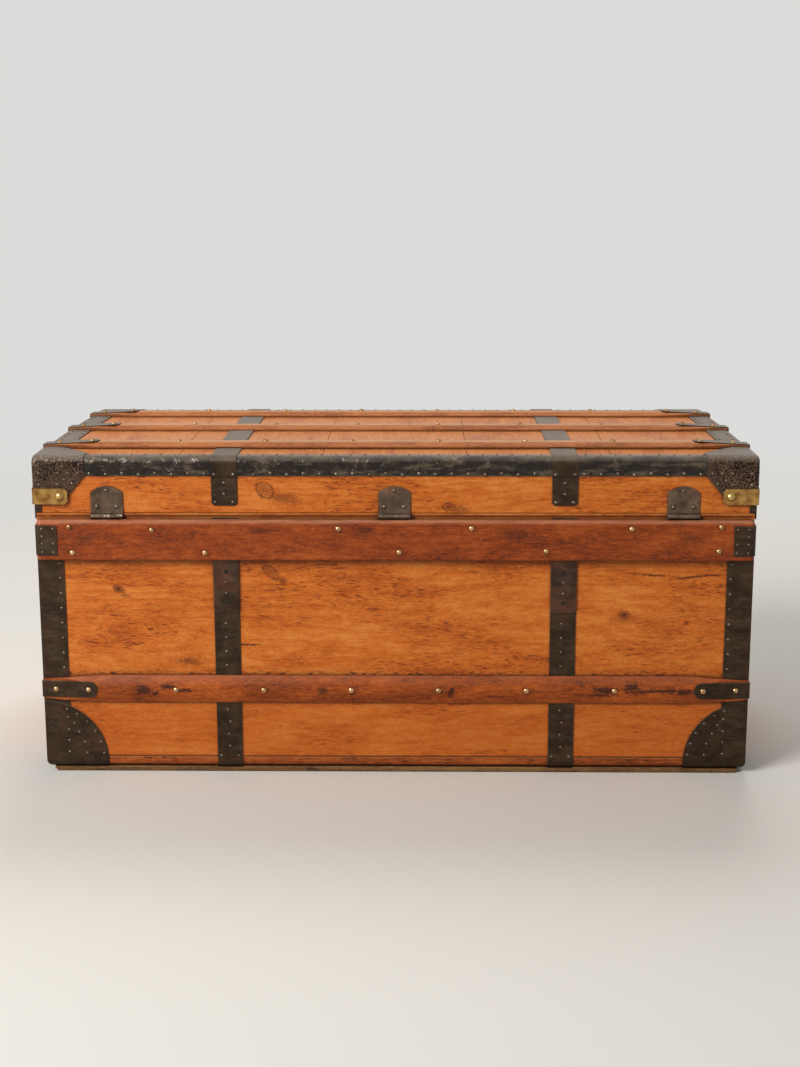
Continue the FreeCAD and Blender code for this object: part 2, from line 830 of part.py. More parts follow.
def build_lid_edges():
    """Rolled bindings along the lid's long edges and bands bent over its ends, of one thickness of sheet."""
    shell = boolean("Cut", "lid_edge_shell", lid_hull("lid_edge_outside", "(sheet + seat)"),
                    lid_hull("lid_edge_inside", "seat"))
    tall = "lid_side + camber"
    stop = "lid_half - edge_stop"
    run = box("binding_run", (f"-({stop})", "-half_depth - 2 * sheet", "binding_foot"),
              (f"2 * ({stop})", "binding_flange + 2 * sheet", tall))
    back = keep(boolean("Common", "lid_back_binding", shell, run))
    keep(mirrored("lid_front_binding", back, FreeCAD.Vector(0, 1, 0)))
    reach = "half_depth - binding_flange - notch_play"
    turn = box("end_band_run", ("lid_half - end_band_width", f"-({reach})", "binding_foot"),
               ("end_band_width + 2 * sheet", f"2 * ({reach})", tall))
    right = boolean("Common", "lid_end_band_right", shell, turn)
    group("lid_end_bands", [mirrored("lid_end_band_left", right, FreeCAD.Vector(1, 0, 0)), right])


def build_lid_caps():
    """Pressed caps on the lid's corners, cut straight across below and on top."""
    shell = boolean("Cut", "lid_cap_shell", lid_hull("lid_cap_outside", "(lid_cap_layer)"),
                    lid_hull("lid_cap_inside", "(lid_layer)"))
    far = "-lid_cap_leg"
    low = "lid_foot + lid_cap_foot"
    high = "lid_shoulder + lid_cap_leg"
    knee = "binding_foot"
    front_view = [(far, low), ("lid_cap_toe", low), ("lid_cap_leg", knee), ("lid_cap_leg", high), (far, high)]
    plan = [(far, far), ("lid_cap_leg", far), ("lid_cap_leg", "lid_cap_crop"),
            ("lid_cap_crop", "lid_cap_leg"), (far, "lid_cap_leg")]
    cutters = []
    for name, plane, loop in (("face", "XZ", front_view), ("end", "YZ", front_view), ("plan", "XY", plan)):
        body = new_body("lid_cap_" + name)
        pad(body, outline(body, plane, [loop]), THROUGH, symmetric=True)
        place(body, "-(lid_half)", "-half_depth")
        cutters.append(body)
    first = doc.addObject("Part::MultiCommon", "lid_cap_back_left")
    first.Shapes = [shell] + cutters
    doc.recompute()
    along = FreeCAD.Vector(1, 0, 0)
    across = FreeCAD.Vector(0, 1, 0)
    right = mirrored("lid_cap_back_right", first, along)
    left = mirrored("lid_cap_front_left", first, across)
    group("lid_corner_caps", [first, right, left, mirrored("lid_cap_front_right", right, across)])


def build_clips():
    """Brass clips round the lid's lower corners, each held by two domed rivets."""
    clips = []
    rivets = []
    layer = "lid_cap_layer + seat"
    outer = f"{layer} + sheet"
    low = "lid_foot + clip_level - clip_height / 2"
    for corner, (angle, x, y) in CORNERS.items():
        body = new_body("clip_" + corner)
        section = [
            ("edge_round", f"-({outer})"),
            ("clip_leg", f"-({outer})"),
            ("clip_leg", f"-({layer})"),
            ("edge_round", f"-({layer})", f"edge_round + {layer}", "inward"),
            (f"-({layer})", "edge_round"),
            (f"-({layer})", "clip_leg"),
            (f"-({outer})", "clip_leg"),
            (f"-({outer})", "edge_round", f"edge_round + {outer}"),
        ]
        pad(body, outline(body, "XY", [section], low), "clip_height")
        ends = edges_at(body.Tip.Shape, x="clip_leg") + edges_at(body.Tip.Shape, y="clip_leg")
        level = [name for name in ends if value("sheet") - NEAR < body.Tip.Shape.getElement(name).Length
                 < value("sheet") + NEAR]
        chamfer_edges(body, "clip_chamfer", level)
        turn = FreeCAD.Rotation(UPRIGHT, angle)
        place(body, f"{x} * (lid_half)", f"{y} * half_depth", "0", turn)
        clips.append(body)
        for leg in ("face", "end"):
            rivets.append(build_rivet(f"rivet_{leg}_{corner}", corner, outer, leg))
    group("brass_corner_clips", clips)
    group("clip_rivets", rivets)


def turned(angle, x, y):
    """Turn a pair of formulas about the upright axis by a whole number of right angles."""
    return {0: (x, y), 90: (f"-({y})", x), 180: (f"-({x})", f"-({y})"), 270: (y, f"-({x})")}[angle % 360]


def build_rivet(label, corner, out, leg):
    """A domed rivet head on one leg of a clip, turned from its profile."""
    body = new_body(label)
    dome = "(rivet_radius * rivet_radius + rivet_height * rivet_height) / (2 * rivet_height)"
    profile = [("0", "-rivet_height", dome), ("rivet_radius", "0"), ("0", "0")]
    head = body.newObject("PartDesign::Revolution", label + "_head")
    head.Profile = outline(body, "XY", [profile])
    head.ReferenceAxis = (head.Profile[0], ["V_Axis"])
    doc.recompute()
    angle, side_x, side_y = CORNERS[corner]
    if leg == "face":
        x, y = turned(angle, "rivet_inset", f"-({out})")
        turn = angle
    else:
        x, y = turned(angle, f"-({out})", "rivet_inset")
        turn = angle - 90
    place(body, f"{side_x} * (lid_half) + {x}", f"{side_y} * half_depth + {y}", "lid_foot + clip_level",
          FreeCAD.Rotation(UPRIGHT, turn))
    return body


def build_lips():
    """Iron lips on the lid's ends that hang over the parting line, turned a little way round the corners."""
    lips = []
    side = "half_depth - edge_round"
    turn = "lid_half - edge_round"
    tip = "lid_half - lip_return"
    wing = [
        (tip, "-half_depth - sheet"),
        (turn, "-half_depth - sheet", "edge_round + sheet"),
        ("lid_half + sheet", f"-({side})"),
    ]
    inside = [
        ("lid_half", f"-({side})", "edge_round", "inward"),
        (turn, "-half_depth"),
        (tip, "-half_depth"),
    ]
    outer = wing + [(x, f"-({y})", *bend) for x, y, *bend in backwards(wing)]
    inner = [(x, f"-({y})", *bend) for x, y, *bend in backwards(inside)] + inside
    for hand in ("left", "right"):
        body = new_body("lid_lip_" + hand)
        pad(body, outline(body, "XY", [outer + inner], "lid_foot"), "lip_rise")
        hang = rectangle(f"-({side})", "parting - lip_hang", side, "lid_foot + lip_rise")
        pad(body, outline(body, "YZ", [hang], "lid_half"), "sheet")
        if hand == "left":
            place(body, turn=FreeCAD.Rotation(UPRIGHT, 180))
        lips.append(body)
    group("lid_end_lips", lips)


def strap_side(out):
    """Points of a lid strap's front half at a layer of its thickness, from its foot to the crown.

    The strap lies on the board, jogs out over the binding, rolls over the edge and jogs down again.
    """
    face = f"half_depth + seat + {out}"
    side, over, bend, foot, meet, top = rolled(f"(lid_layer + {out})")
    flange = "(half_depth - binding_flange)"
    crown = f"(crown_radius + seat + {out})"
    inner = f"({flange} - strap_jog)"
    return [
        (face, "lid_foot + lid_strap_foot"),
        (face, "binding_foot - strap_jog"),
        (side, "binding_foot - seat"),
        (side, foot, bend),
        (meet, top),
        (flange, f"crown_level + sqrt({over} * {over} - {flange} * {flange})"),
        (inner, f"crown_level + sqrt({crown} * {crown} - {inner} * {inner})", crown),
    ]


def backwards(points):
    """The same points the other way along, each arc kept between its two ends."""
    bends = [point[2:] for point in reversed(points[:-1])] + [()]
    return [point[:2] + bend for point, bend in zip(reversed(points), bends)]


def opposite(points):
    """The mirror image of some points through the middle of the trunk."""
    return [(f"-({point[0]})",) + point[1:] for point in points]


def build_lid_straps():
    """Straps over the lid: up the back, over the binding, along the camber and down the front."""
    outside = strap_side("sheet")
    inside = strap_side("0")
    under = opposite(inside) + backwards(inside)
    hollow = [point if len(point) == 2 else point + ("inward",) for point in under]
    section = outside + opposite(backwards(outside)) + hollow
    straps = []
    for side, sign in (("left", "-"), ("right", "")):
        body = new_body("lid_strap_" + side)
        pad(body, outline(body, "YZ", [section], f"{sign}strap_place - strap_width / 2"), "strap_width")
        feet = [name for name in edges_at(body.Tip.Shape, z="lid_foot + lid_strap_foot")
                if body.Tip.Shape.getElement(name).Length < value("strap_width") - NEAR]
        round_edges(body, "strap_corner", feet)
        straps.append(body)
    group("lid_straps", straps)


# Hinges and hasp leaves
def upper_leaf(label, width, level, rise, arch, middle):
    """A leaf above its pin: a plate with an arched top and a rolled knuckle at each side."""
    body = new_body(label)
    half = f"{width} / 2"
    gap = f"{middle} / 2 + knuckle_gap"
    clear = f"{level} + knuckle_radius + knuckle_gap"
    shoulder = f"{level} + {rise}"
    bow = f"(({half}) * ({half}) + {arch} * {arch}) / (2 * {arch})"
    plate = [
        (f"-({half})", level), (f"-({gap})", level), (f"-({gap})", clear), (gap, clear), (gap, level),
        (half, level), (half, shoulder, bow), (f"-({half})", shoulder),
    ]
    pad(body, outline(body, "XZ", [plate]), "leaf_sheet")
    axis = ("-(knuckle_out)", level)
    for start in (f"-({half})", gap):
        pad(body, ring(body, "YZ", axis, "knuckle_radius", start), f"{half} - ({gap})")
    pocket(body, ring(body, "YZ", axis, "pin_radius + pin_play"), THROUGH, symmetric=True)
    return body


def place_at(item, face, x):
    """Put an object on the back or the front at a distance to the right as seen from outside."""
    angle, _, y = FACES[face]
    place(item, x if face == "back" else f"-({x})", y, "0", FreeCAD.Rotation(UPRIGHT, angle))


def lower_leaf(label, x):
    """The base leaf of a hinge, behind the rail, with the middle knuckle."""
    body = new_body(label)
    half = "leaf_width / 2"
    tab = "middle_knuckle / 2"
    clear = "hinge_level - knuckle_radius - knuckle_gap"
    foot = "hinge_level - leaf_depth"
    plate = [
        (f"-{half}", foot), (half, foot), (half, clear), (tab, clear), (tab, "hinge_level"),
        (f"-{tab}", "hinge_level"), (f"-{tab}", clear), (f"-{half}", clear),
    ]
    pad(body, outline(body, "XZ", [plate]), "leaf_sheet")
    axis = ("-(knuckle_out)", "hinge_level")
    pad(body, ring(body, "YZ", axis, "knuckle_radius"), "middle_knuckle", symmetric=True)
    pocket(body, ring(body, "YZ", axis, "pin_radius + pin_play"), THROUGH, symmetric=True)
    place_at(body, "back", x)
    return body


def pin(label, face, x, width, level):
    """A hinge pin, level along the trunk."""
    item = doc.addObject("Part::Cylinder", label)
    bind(item, "Radius", "pin_radius")
    bind(item, "Height", width)
    y = "-half_depth - (knuckle_out)" if face == "back" else "half_depth + knuckle_out"
    place(item, f"{x} - {width} / 2", y, level, FreeCAD.Rotation(FreeCAD.Vector(0, 1, 0), 90))
    return item


def build_hinges():
    """Three hinges on the back, their base leaves let in behind the rail."""
    base_leaves = []
    lid_leaves = []
    pins = []
    for name, x in (("left", "-hinge_place"), ("middle", "0"), ("right", "hinge_place")):
        base_leaves.append(lower_leaf("hinge_base_leaf_" + name, x))
        leaf = upper_leaf("hinge_lid_leaf_" + name, "leaf_width", "hinge_level", "leaf_rise", "leaf_arch",
                          "middle_knuckle")
        place_at(leaf, "back", x)
        lid_leaves.append(leaf)
        pins.append(pin("hinge_pin_" + name, "back", x, "leaf_width", "hinge_level"))
    group("hinge_base_leaves", base_leaves)
    group("hinge_lid_leaves", lid_leaves)
    group("hinge_pins", pins)


# Lock and catches
def latch_case(label, x, kind):
    """A flat box on the base's front with a slot, open above, that takes the staple of the hasp."""
    body = new_body(label)
    half = f"{kind}_width / 2"
    foot = f"case_top - {kind}_height"
    front = [
        (f"case_corner - {half}", foot),
        (f"{half} - case_corner", foot, "case_corner"),
        (half, f"{foot} + case_corner"),
        (half, "case_top"),
        (f"-{half}", "case_top"),
        (f"-{half}", f"{foot} + case_corner", "case_corner"),
    ]
    pad(body, outline(body, "XZ", [front]), "case_thick")
    slot = f"{kind}_staple_width / 2 + staple_play"
    mouth = rectangle(f"-({slot})", "staple_top - staple_height - staple_play", slot, "case_top + cut_over")
    pocket(body, outline(body, "XZ", [mouth]), THROUGH, symmetric=True)
    place_at(body, "front", x)
    return body


def build_lock():
    """The lock's case has a keyhole and a channel in which the bolt slides through the staple's eye."""
    body = keep(latch_case("lock_case", "0", "lock"))
    channel = rectangle("-bolt_depth - bolt_thick - bolt_play", "bolt_level - bolt_height / 2 - bolt_play",
                        "bolt_play - bolt_depth", "bolt_level + bolt_height / 2 + bolt_play")
    pocket(body, outline(body, "YZ", [channel]), THROUGH, symmetric=True)
    key = "case_top - lock_height + key_level"
    pocket(body, ring(body, "XZ", ("0", key), "key_radius"), THROUGH, symmetric=True)
    slot = rectangle("-key_slot / 2", f"{key} - key_drop", "key_slot / 2", key)
    pocket(body, outline(body, "XZ", [slot]), THROUGH, symmetric=True)
    bolt = keep(new_body("lock_bolt"))
    start = "lock_staple_width / 2 + bolt_stand_off"
    bar = rectangle(start, "bolt_level - bolt_height / 2", f"{start} + bolt_length",
                    "bolt_level + bolt_height / 2")
    pad(bolt, outline(bolt, "XZ", [bar], "bolt_depth"), "bolt_thick")
    place_on_face(bolt, "front")


def build_hasp(label, x, kind, eye):
    """A cranked hasp that hangs from its leaf over the case, with a staple on its back."""
    body = keep(new_body(label))
    neck_half = "latch_middle / 2"
    axis = ("-(knuckle_out)", "latch_axis")
    pad(body, ring(body, "YZ", axis, "knuckle_radius"), "latch_middle", symmetric=True)
    neck = [
        ("-(hasp_back) - hasp_sheet", "case_top"),
        ("-(hasp_back)", "case_top"),
        ("-(hasp_back)", "case_top + hasp_sheet"),
        ("-(knuckle_out)", "latch_axis"),
        ("-(knuckle_out) - hasp_sheet", "latch_axis"),
        ("-(hasp_back) - hasp_sheet", "case_top + hasp_sheet"),
    ]
    pad(body, outline(body, "YZ", [neck]), "latch_middle", symmetric=True)
    half = f"{kind}_hasp_width / 2"
    foot = f"case_top - {kind}_hasp_length"
    plate = [
        (f"hasp_round - {half}", foot),
        (f"{half} - hasp_round", foot, "hasp_round"),
        (half, f"{foot} + hasp_round"),
        (half, "case_top"),
        (neck_half, "case_top + hasp_sheet"),
        (f"-{neck_half}", "case_top + hasp_sheet"),
        (f"-{half}", "case_top"),
        (f"-{half}", f"{foot} + hasp_round", "hasp_round"),
    ]
    pad(body, outline(body, "XZ", [plate], "hasp_back"), "hasp_sheet")
    staple = rectangle(f"-{kind}_staple_width / 2", "staple_top - staple_height", f"{kind}_staple_width / 2",
                       "staple_top")
    pad(body, outline(body, "XZ", [staple], "hasp_back"), "staple_reach", reverse=True)
    if eye:
        hole = rectangle("-bolt_depth - bolt_thick - eye_play", "bolt_level - bolt_height / 2 - eye_play",
                         "eye_play - bolt_depth", "bolt_level + bolt_height / 2 + eye_play")
        pocket(body, outline(body, "YZ", [hole]), THROUGH, symmetric=True)
    pocket(body, ring(body, "YZ", axis, "pin_radius + pin_play"), THROUGH, symmetric=True)
    place_at(body, "front", x)


def build_latches():
    """The lock in the middle of the front and a catch on each side of it."""
    build_lock()
    leaves = []
    pins = []
    cases = []
    for name, x, kind in (("lock", "0", "lock"), ("left_catch", "-catch_place", "catch"),
                          ("right_catch", "catch_place", "catch")):
        if kind == "catch":
            cases.append(latch_case(name + "_case", x, kind))
        leaf = upper_leaf(name + "_leaf", f"{kind}_hasp_width", "latch_axis", "latch_rise", "latch_arch",
                          "latch_middle")
        place_at(leaf, "front", x)
        leaves.append(leaf)
        across = x if name == "lock" else f"-({x})"
        pins.append(pin(name + "_pin", "front", across, f"{kind}_hasp_width", "latch_axis"))
        build_hasp(name + "_hasp", x, kind, kind == "lock")
    group("catch_cases", cases)
    group("hasp_leaves", leaves)
    group("hasp_pins", pins)


# End handles
def build_handles():
    """A plate with two lugs on each end, and a bail that hangs in them."""
    for face in ("left", "right"):
        plate = keep(new_body("handle_plate_" + face))
        half = "handle_plate_length / 2"
        tall = "handle_plate_height / 2"
        inner = f"{half} - handle_plate_corner"
        straight = f"{tall} - handle_plate_corner"
        loop = [
            (f"-({inner})", f"-{tall}"), (inner, f"-{tall}", "handle_plate_corner"),
            (half, f"-({straight})"), (half, straight, "handle_plate_corner"),
            (inner, tall), (f"-({inner})", tall, "handle_plate_corner"),
            (f"-{half}", straight), (f"-{half}", f"-({straight})", "handle_plate_corner"),
        ]
        pad(plate, outline(plate, "XZ", [loop]), "handle_plate")
        axis = "-handle_plate - lug_reach"
        lug = [
            (axis, "lug_radius", "lug_radius"),
            (f"{axis} - lug_radius", "0", "lug_radius"),
            (axis, "-lug_radius"),
            ("-handle_plate / 2", "-lug_radius"),
            ("-handle_plate / 2", "lug_radius"),
        ]
        for sign in ("-", ""):
            start = f"{sign}lug_place - lug_width / 2"
            pad(plate, outline(plate, "YZ", [lug], start), "lug_width")
        pocket(plate, ring(plate, "YZ", (axis, "0"), "bail_radius + bail_play"), THROUGH, symmetric=True)
        place_on_face(plate, face, "handle_level")
        build_bail("handle_bail_" + face, face, axis)


def build_bail(label, face, axis):
    """A round bar bent to a flat U, its ends turned out through the lugs."""
    body = keep(new_body(label))
    side = "bail_leg"
    end = "lug_place + lug_width / 2 + bail_stub"
    path = new_sketch(body, "XZ", f"-({axis})")
    draw_path(path, [(f"-({end})", "0"), (f"-({side})", "0"), (f"-({side})", "-bail_drop"),
                     (side, "-bail_drop"), (side, "0"), (end, "0")])
    profile = ring(body, "YZ", (axis, "0"), "bail_radius", f"-({end})")
    pipe = body.newObject("PartDesign::AdditivePipe", label + "_pipe")
    pipe.Profile = profile
    pipe.Spine = path
    doc.recompute()
    place_on_face(body, face, "handle_level")


def draw_path(drawing, corners):
    """Draw an open path of level and upright runs, its corners rounded by the bail's bend."""
    places = []
    for number, (x, z) in enumerate(corners):
        if number in (0, len(corners) - 1):
            places.append((x, z, None))
            continue
        for neighbour in (corners[number - 1], corners[number + 1]):
            towards_x = value(neighbour[0]) - value(x)
            towards_z = value(neighbour[1]) - value(z)
            if abs(towards_x) > NEAR:
                sign = "+" if towards_x > 0 else "-"
                places.append((f"{x} {sign} bail_bend", z, number))
            else:
                sign = "+" if towards_z > 0 else "-"
                places.append((x, f"{z} {sign} bail_bend", number))
    points = [FreeCAD.Vector(value(x), value(z), 0) for x, z, _ in places]
    ends = []
    for number in range(len(places) - 1):
        start = points[number]
        end = points[number + 1]
        if places[number][2] is None or places[number][2] != places[number + 1][2]:
            ends.append((drawing.addGeometry(Part.LineSegment(start, end)), 1, 2, False))
            continue
        knee = FreeCAD.Vector(value(corners[places[number][2]][0]), value(corners[places[number][2]][1]), 0)
        middle = knee + ((start + end) / 2 - knee) * (2 - math.sqrt(2))
        edge = drawing.addGeometry(Part.Arc(start, middle, end))
        forward = drawing.getPoint(edge, 1).distanceToPoint(start) < NEAR
        ends.append((edge, 1, 2, True) if forward else (edge, 2, 1, True))
    for (edge, _, last, _), (following, first, _, _) in zip(ends, ends[1:]):
        drawing.addConstraint(Sketcher.Constraint("Coincident", edge, last, following, first))
    for (edge, first, _, bent), (x, z, _) in zip(ends, places):
        pin_point(drawing, edge, first, (x, z))
        if bent:
            index = drawing.addConstraint(Sketcher.Constraint("Radius", edge, value("bail_bend")))
            bind(drawing, f"Constraints[{index}]", "bail_bend")
    pin_point(drawing, ends[-1][0], ends[-1][2], places[-1][:2])


# Check and write
def check():
    """Stop if anything in the document failed."""
    for item in doc.Objects:
        if "Invalid" in item.State or "Error" in item.State:
            raise RuntimeError(f"{item.Label}: {item.State}")
    for item in nodes:
        if item.Shape.isNull() or not item.Shape.isValid() or not item.Shape.Solids:
            raise RuntimeError(f"{item.Label}: bad shape")


def write():
    """Write each node to its own file."""
    os.makedirs("parts", exist_ok=True)
    for item in nodes:
        item.Shape.exportStep(f"parts/{item.Label}.step")


fill_sheet()
build_case()
build_rails()
build_base_slats()
build_base_caps()
build_corner_bands()
build_base_straps()
build_rail_plates()
build_lid_boards()
build_lid_slats()
build_lid_edges()
build_lid_caps()
build_clips()
build_lips()
build_lid_straps()
build_hinges()
build_latches()
build_handles()
doc.recompute()
check()
write()
print(len(nodes), "nodes")
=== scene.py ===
"""Looks of an antique slatted travel trunk.

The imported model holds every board, batten, band and fitting. This script dresses them in their real
materials, drives in the nails and tacks that hold them, and sets the studio in which the trunk is seen
from its hinge side. Sizes in the classes are millimetres in the trunk's own frame; Blender works in metres.
"""
from __future__ import annotations

import json
import logging
import math
import random
from abc import ABC, abstractmethod
from dataclasses import dataclass
from enum import Enum
from typing import Iterable, Sequence, Union

import bmesh
import bpy
from mathutils import Matrix, Vector

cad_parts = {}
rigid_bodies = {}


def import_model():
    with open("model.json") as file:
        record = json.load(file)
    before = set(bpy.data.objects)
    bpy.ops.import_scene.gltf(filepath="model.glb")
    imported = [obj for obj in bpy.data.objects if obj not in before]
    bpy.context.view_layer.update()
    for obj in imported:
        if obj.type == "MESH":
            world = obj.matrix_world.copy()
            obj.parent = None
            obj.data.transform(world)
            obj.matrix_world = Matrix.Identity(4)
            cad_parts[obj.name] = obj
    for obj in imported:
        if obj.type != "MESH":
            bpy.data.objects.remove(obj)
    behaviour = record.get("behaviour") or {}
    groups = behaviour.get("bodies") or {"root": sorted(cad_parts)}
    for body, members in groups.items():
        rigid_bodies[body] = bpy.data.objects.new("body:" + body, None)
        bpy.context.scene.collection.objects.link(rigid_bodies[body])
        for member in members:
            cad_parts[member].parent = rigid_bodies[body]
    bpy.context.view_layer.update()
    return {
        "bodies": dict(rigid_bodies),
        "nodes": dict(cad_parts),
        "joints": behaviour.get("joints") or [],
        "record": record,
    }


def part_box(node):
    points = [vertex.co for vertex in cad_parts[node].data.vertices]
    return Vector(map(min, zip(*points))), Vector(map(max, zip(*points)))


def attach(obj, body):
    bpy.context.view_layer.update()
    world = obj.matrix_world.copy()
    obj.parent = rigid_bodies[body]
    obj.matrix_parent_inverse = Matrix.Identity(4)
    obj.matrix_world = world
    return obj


LOG = logging.getLogger("trunk")
MM = 0.001
SEED = 1890
HANDS = (-1, 1)  # the two ways from a middle

Colour = tuple[float, float, float, float]
Source = Union[bpy.types.Node, bpy.types.NodeSocket, float, Sequence[float]]
Inputs = dict[Union[str, int], Source]


# Shared helpers
def linear(code: str) -> Colour:
    """Turn an sRGB hex colour into linear light.

    Args:
        code: Six hex digits after a hash sign.

    Returns:
        Red, green, blue and a full alpha.
    """
    parts = [int(code[start:start + 2], 16) / 255 for start in (1, 3, 5)]
    red, green, blue = (
        part / 12.92 if part <= 0.04045 else ((part + 0.055) / 1.055) ** 2.4 for part in parts)
    return (red, green, blue, 1.0)


def add(tree: bpy.types.NodeTree, kind: str, inputs: Inputs | None = None,
        stops: Sequence[tuple[float, Colour]] = (), **settings: object) -> bpy.types.Node:
    """Add a shader node, set its properties and fill its inputs.

    Args:
        tree: The material's node tree.
        kind: The node's type without its ShaderNode prefix.
        inputs: For each input, by name or number, a value, a socket or a node, of which the first live
            output is used.
        stops: Places and colours of a colour ramp.
        settings: Properties of the node.

    Returns:
        The new node.
    """
    node = tree.nodes.new("ShaderNode" + kind)
    for name, setting in settings.items():
        setattr(node, name, setting)
    for number, (place, colour) in enumerate(stops):
        ramp = node.color_ramp
        stop = ramp.elements[number] if number < 2 else ramp.elements.new(place)
        stop.position = place
        stop.color = colour
    live = {socket.name: socket for socket in reversed(node.inputs) if socket.enabled}
    for key, source in (inputs or {}).items():
        target = node.inputs[key] if isinstance(key, int) else live[key]
        if isinstance(source, bpy.types.Node):
            source = next(socket for socket in source.outputs if socket.enabled)
        if isinstance(source, bpy.types.NodeSocket):
            tree.links.new(source, target)
        else:
            target.default_value = source
    return node


# Sizes of the finishes' patterns, in millimetres
OWN_STRETCH = 9000.0  # length of tree that the boards are cut from
BOARD_STEP = 1370.0  # distance in the tree between boards that lie side by side
FIBRE_WAVES = ((150.0, 60.0, 16.0), (20.0, 9.0, 4.5))  # length, width and reach of the fibres' waves
RING_WAVES = ((420.0, 130.0, 60.0), (120.0, 22.0, 7.0))  # the same for the growth rings
FOOT_LEVELS = (170.0, 60.0)  # heights at which the shade painted on boards towards the floor starts, and is darkest
CRUMB = 4.0  # crumbs of a mark's broken outline
SCRAPE_SIZE = (2.2, 26.0)  # width and length of a scrape
SCRAPE_END = 4.0  # how far scrapes reach above their belt
RUBBED_WOOD, RUBBED_IRON = 2.5, 1.6  # how far rubbing reaches from an edge
WOOD_EDGE, METAL_EDGE = 0.8, 0.5  # radius of an edge
DIRT_AND_SHADE_REACH, TARNISH_REACH = 12.0, 5.0  # how far the painted shade and soiling of the wood, and the tarnish of brass, reach out of a corner
FIBRE_DEPTH, DIMPLE_DEPTH = 0.35, 0.15  # depth of the relief of wood and of brass
RUST_PATCH, HAZE_PATCH, GRIT = 34.0, 17.0, 2.6  # iron's patches of rust, its uneven tone and its grit
SMEAR = (30.0, 12.0, 9.0)  # a scuff along, across and up
SCRATCH = (1.8, 9.0, 30.0)  # a scratch's width, depth and length
FILM_PATCH, DIMPLE = 11.0, 6.0  # brass's patches of tarnish and its dimples
# Other values that the finishes share
SCRATCH_TURNS = (0.6, 2.1)  # the ways in which scratches run, in radians
FLAT_MATCH, EDGE_MATCH = 0.99, 0.86  # how far a rounded normal agrees with a flat face and with an edge
BEVEL_SAMPLES, CORNER_SAMPLES = 4, 6  # rays that look for edges and for corners
SHELLAC_IOR = 1.52
WOOD_SPECULAR = 0.2  # open pores mirror less than a closed film
FRAY_SHARE = 0.8  # how far the streaks fray a mark's outline
HEART_DEPTH = 0.65  # how far inside its outline a mark is darkest, as a share of its half width
KNOT_RING_TURN = 17.0  # radians of ring pattern over a knot's half width
PIT_DIRT = "#14100D"
# Pale grey of iron that faces upwards: a dusty film, and a painted sheen of the room mirrored in it.
DUST_AND_SHEEN = "#998A7B"


# Finishes
class Grain(Enum):
    """The way in which a board's fibres run, by the trunk's axis."""

    LENGTHWISE = "X"
    CROSSWISE = "Y"


class MarkKind(Enum):
    """What a mark on a board is.

    Each value holds how far the outline frays, how far inside it the heart starts, and how far outside it
    the halo ends, as shares of the mark's half width.
    """

    KNOT = (0.7, 0.1, 0.15)
    STAIN = (3.0, 0.0, 0.6)


@dataclass(frozen=True)
class Mark:
    """A knot, crack or stain on the hinge side of a board.

    Attributes:
        along: Its place along the trunk.
        level: Its height.
        length: Half its length.
        width: Half its width.
        lean: How far its length leans down to the right, in degrees.
        heart: How dark its middle is, from 0 to 1.
        kind: A knot has a sharp rim, a stain is frayed.
    """

    along: float
    level: float
    length: float
    width: float
    lean: float = 0.0
    heart: float = 0.8
    kind: MarkKind = MarkKind.STAIN


@dataclass(frozen=True)
class Seam:
    """A line along the boards in which dirt has gathered.

    Attributes:
        level: Its height.
        reach: How far the dirt reaches to either side.
        broken: How far the line is broken up, from 0 to 1.
    """

    level: float
    reach: float
    broken: float


@dataclass(frozen=True)
class Finish(ABC):
    """A surface as its maker left it and use has changed it.

    Attributes:
        name: The material's plain name.
    """

    name: str

    def material(self) -> bpy.types.Material:
        """Build the material, or give the one built before.

        Returns:
            A node material with this finish.
        """
        found = bpy.data.materials.get(self.name)
        if found is not None:
            return found
        made = bpy.data.materials.new(self.name)
        made.use_nodes = True
        tree = made.node_tree
        tree.nodes.clear()
        shader = add(tree, "BsdfPrincipled", self.surface(tree))
        add(tree, "OutputMaterial", {"Surface": shader})
        return made

    @abstractmethod
    def surface(self, tree: bpy.types.NodeTree) -> Inputs:
        """Lay out the surface.

        Args:
            tree: The material's node tree.

        Returns:
            What the principled shader's inputs take.
        """


def millimetres(tree: bpy.types.NodeTree) -> bpy.types.Node:
    """Give the trunk's own coordinates in millimetres, so that every pattern's scale is a real size."""
    place = add(tree, "TexCoord")
    return add(tree, "VectorMath", {"Vector": place.outputs["Object"], "Scale": 1 / MM}, operation="SCALE")


def upward(tree: bpy.types.NodeTree) -> bpy.types.NodeSocket:
    """Give how far a face looks up while the trunk is shut, from -1 to 1."""
    return add(tree, "SeparateXYZ", {"Vector": add(tree, "TexCoord").outputs["Normal"]}).outputs["Z"]


def outer_faces(tree: bpy.types.NodeTree) -> bpy.types.Node:
    """Tell the faces outside the trunk, which travel has marked, from those inside it.

    Args:
        tree: The material's node tree.

    Returns:
        1 on faces that look away from the trunk's upright axis, otherwise 0.
    """
    place = add(tree, "TexCoord")
    level = add(tree, "VectorMath", {0: place.outputs["Object"], 1: (1.0, 1.0, 0.0)},
                operation="MULTIPLY")
    way = add(tree, "VectorMath", {0: level, 1: place.outputs["Normal"]}, operation="DOT_PRODUCT")
    return add(tree, "Math", {0: way.outputs["Value"], 1: 0.0}, operation="GREATER_THAN")


def rubbed_edges(tree: bpy.types.NodeTree, radius: float, most: float) -> bpy.types.Node:
    """Find the edges that hands and straps rub.

    Args:
        tree: The material's node tree.
        radius: How far the rubbing reaches from an edge.
        most: The share of rubbed surface on the edge itself.

    Returns:
        A value from 0 on flat faces to the most on edges.
    """
    turned = add(tree, "Bevel", {"Radius": radius * MM}, samples=BEVEL_SAMPLES)
    flat = add(tree, "NewGeometry")
    match = add(tree, "VectorMath", {0: turned, 1: flat.outputs["Normal"]}, operation="DOT_PRODUCT")
    return add(tree, "MapRange", {"Value": match.outputs["Value"], "From Min": FLAT_MATCH,
                                  "From Max": EDGE_MATCH, "To Max": most})


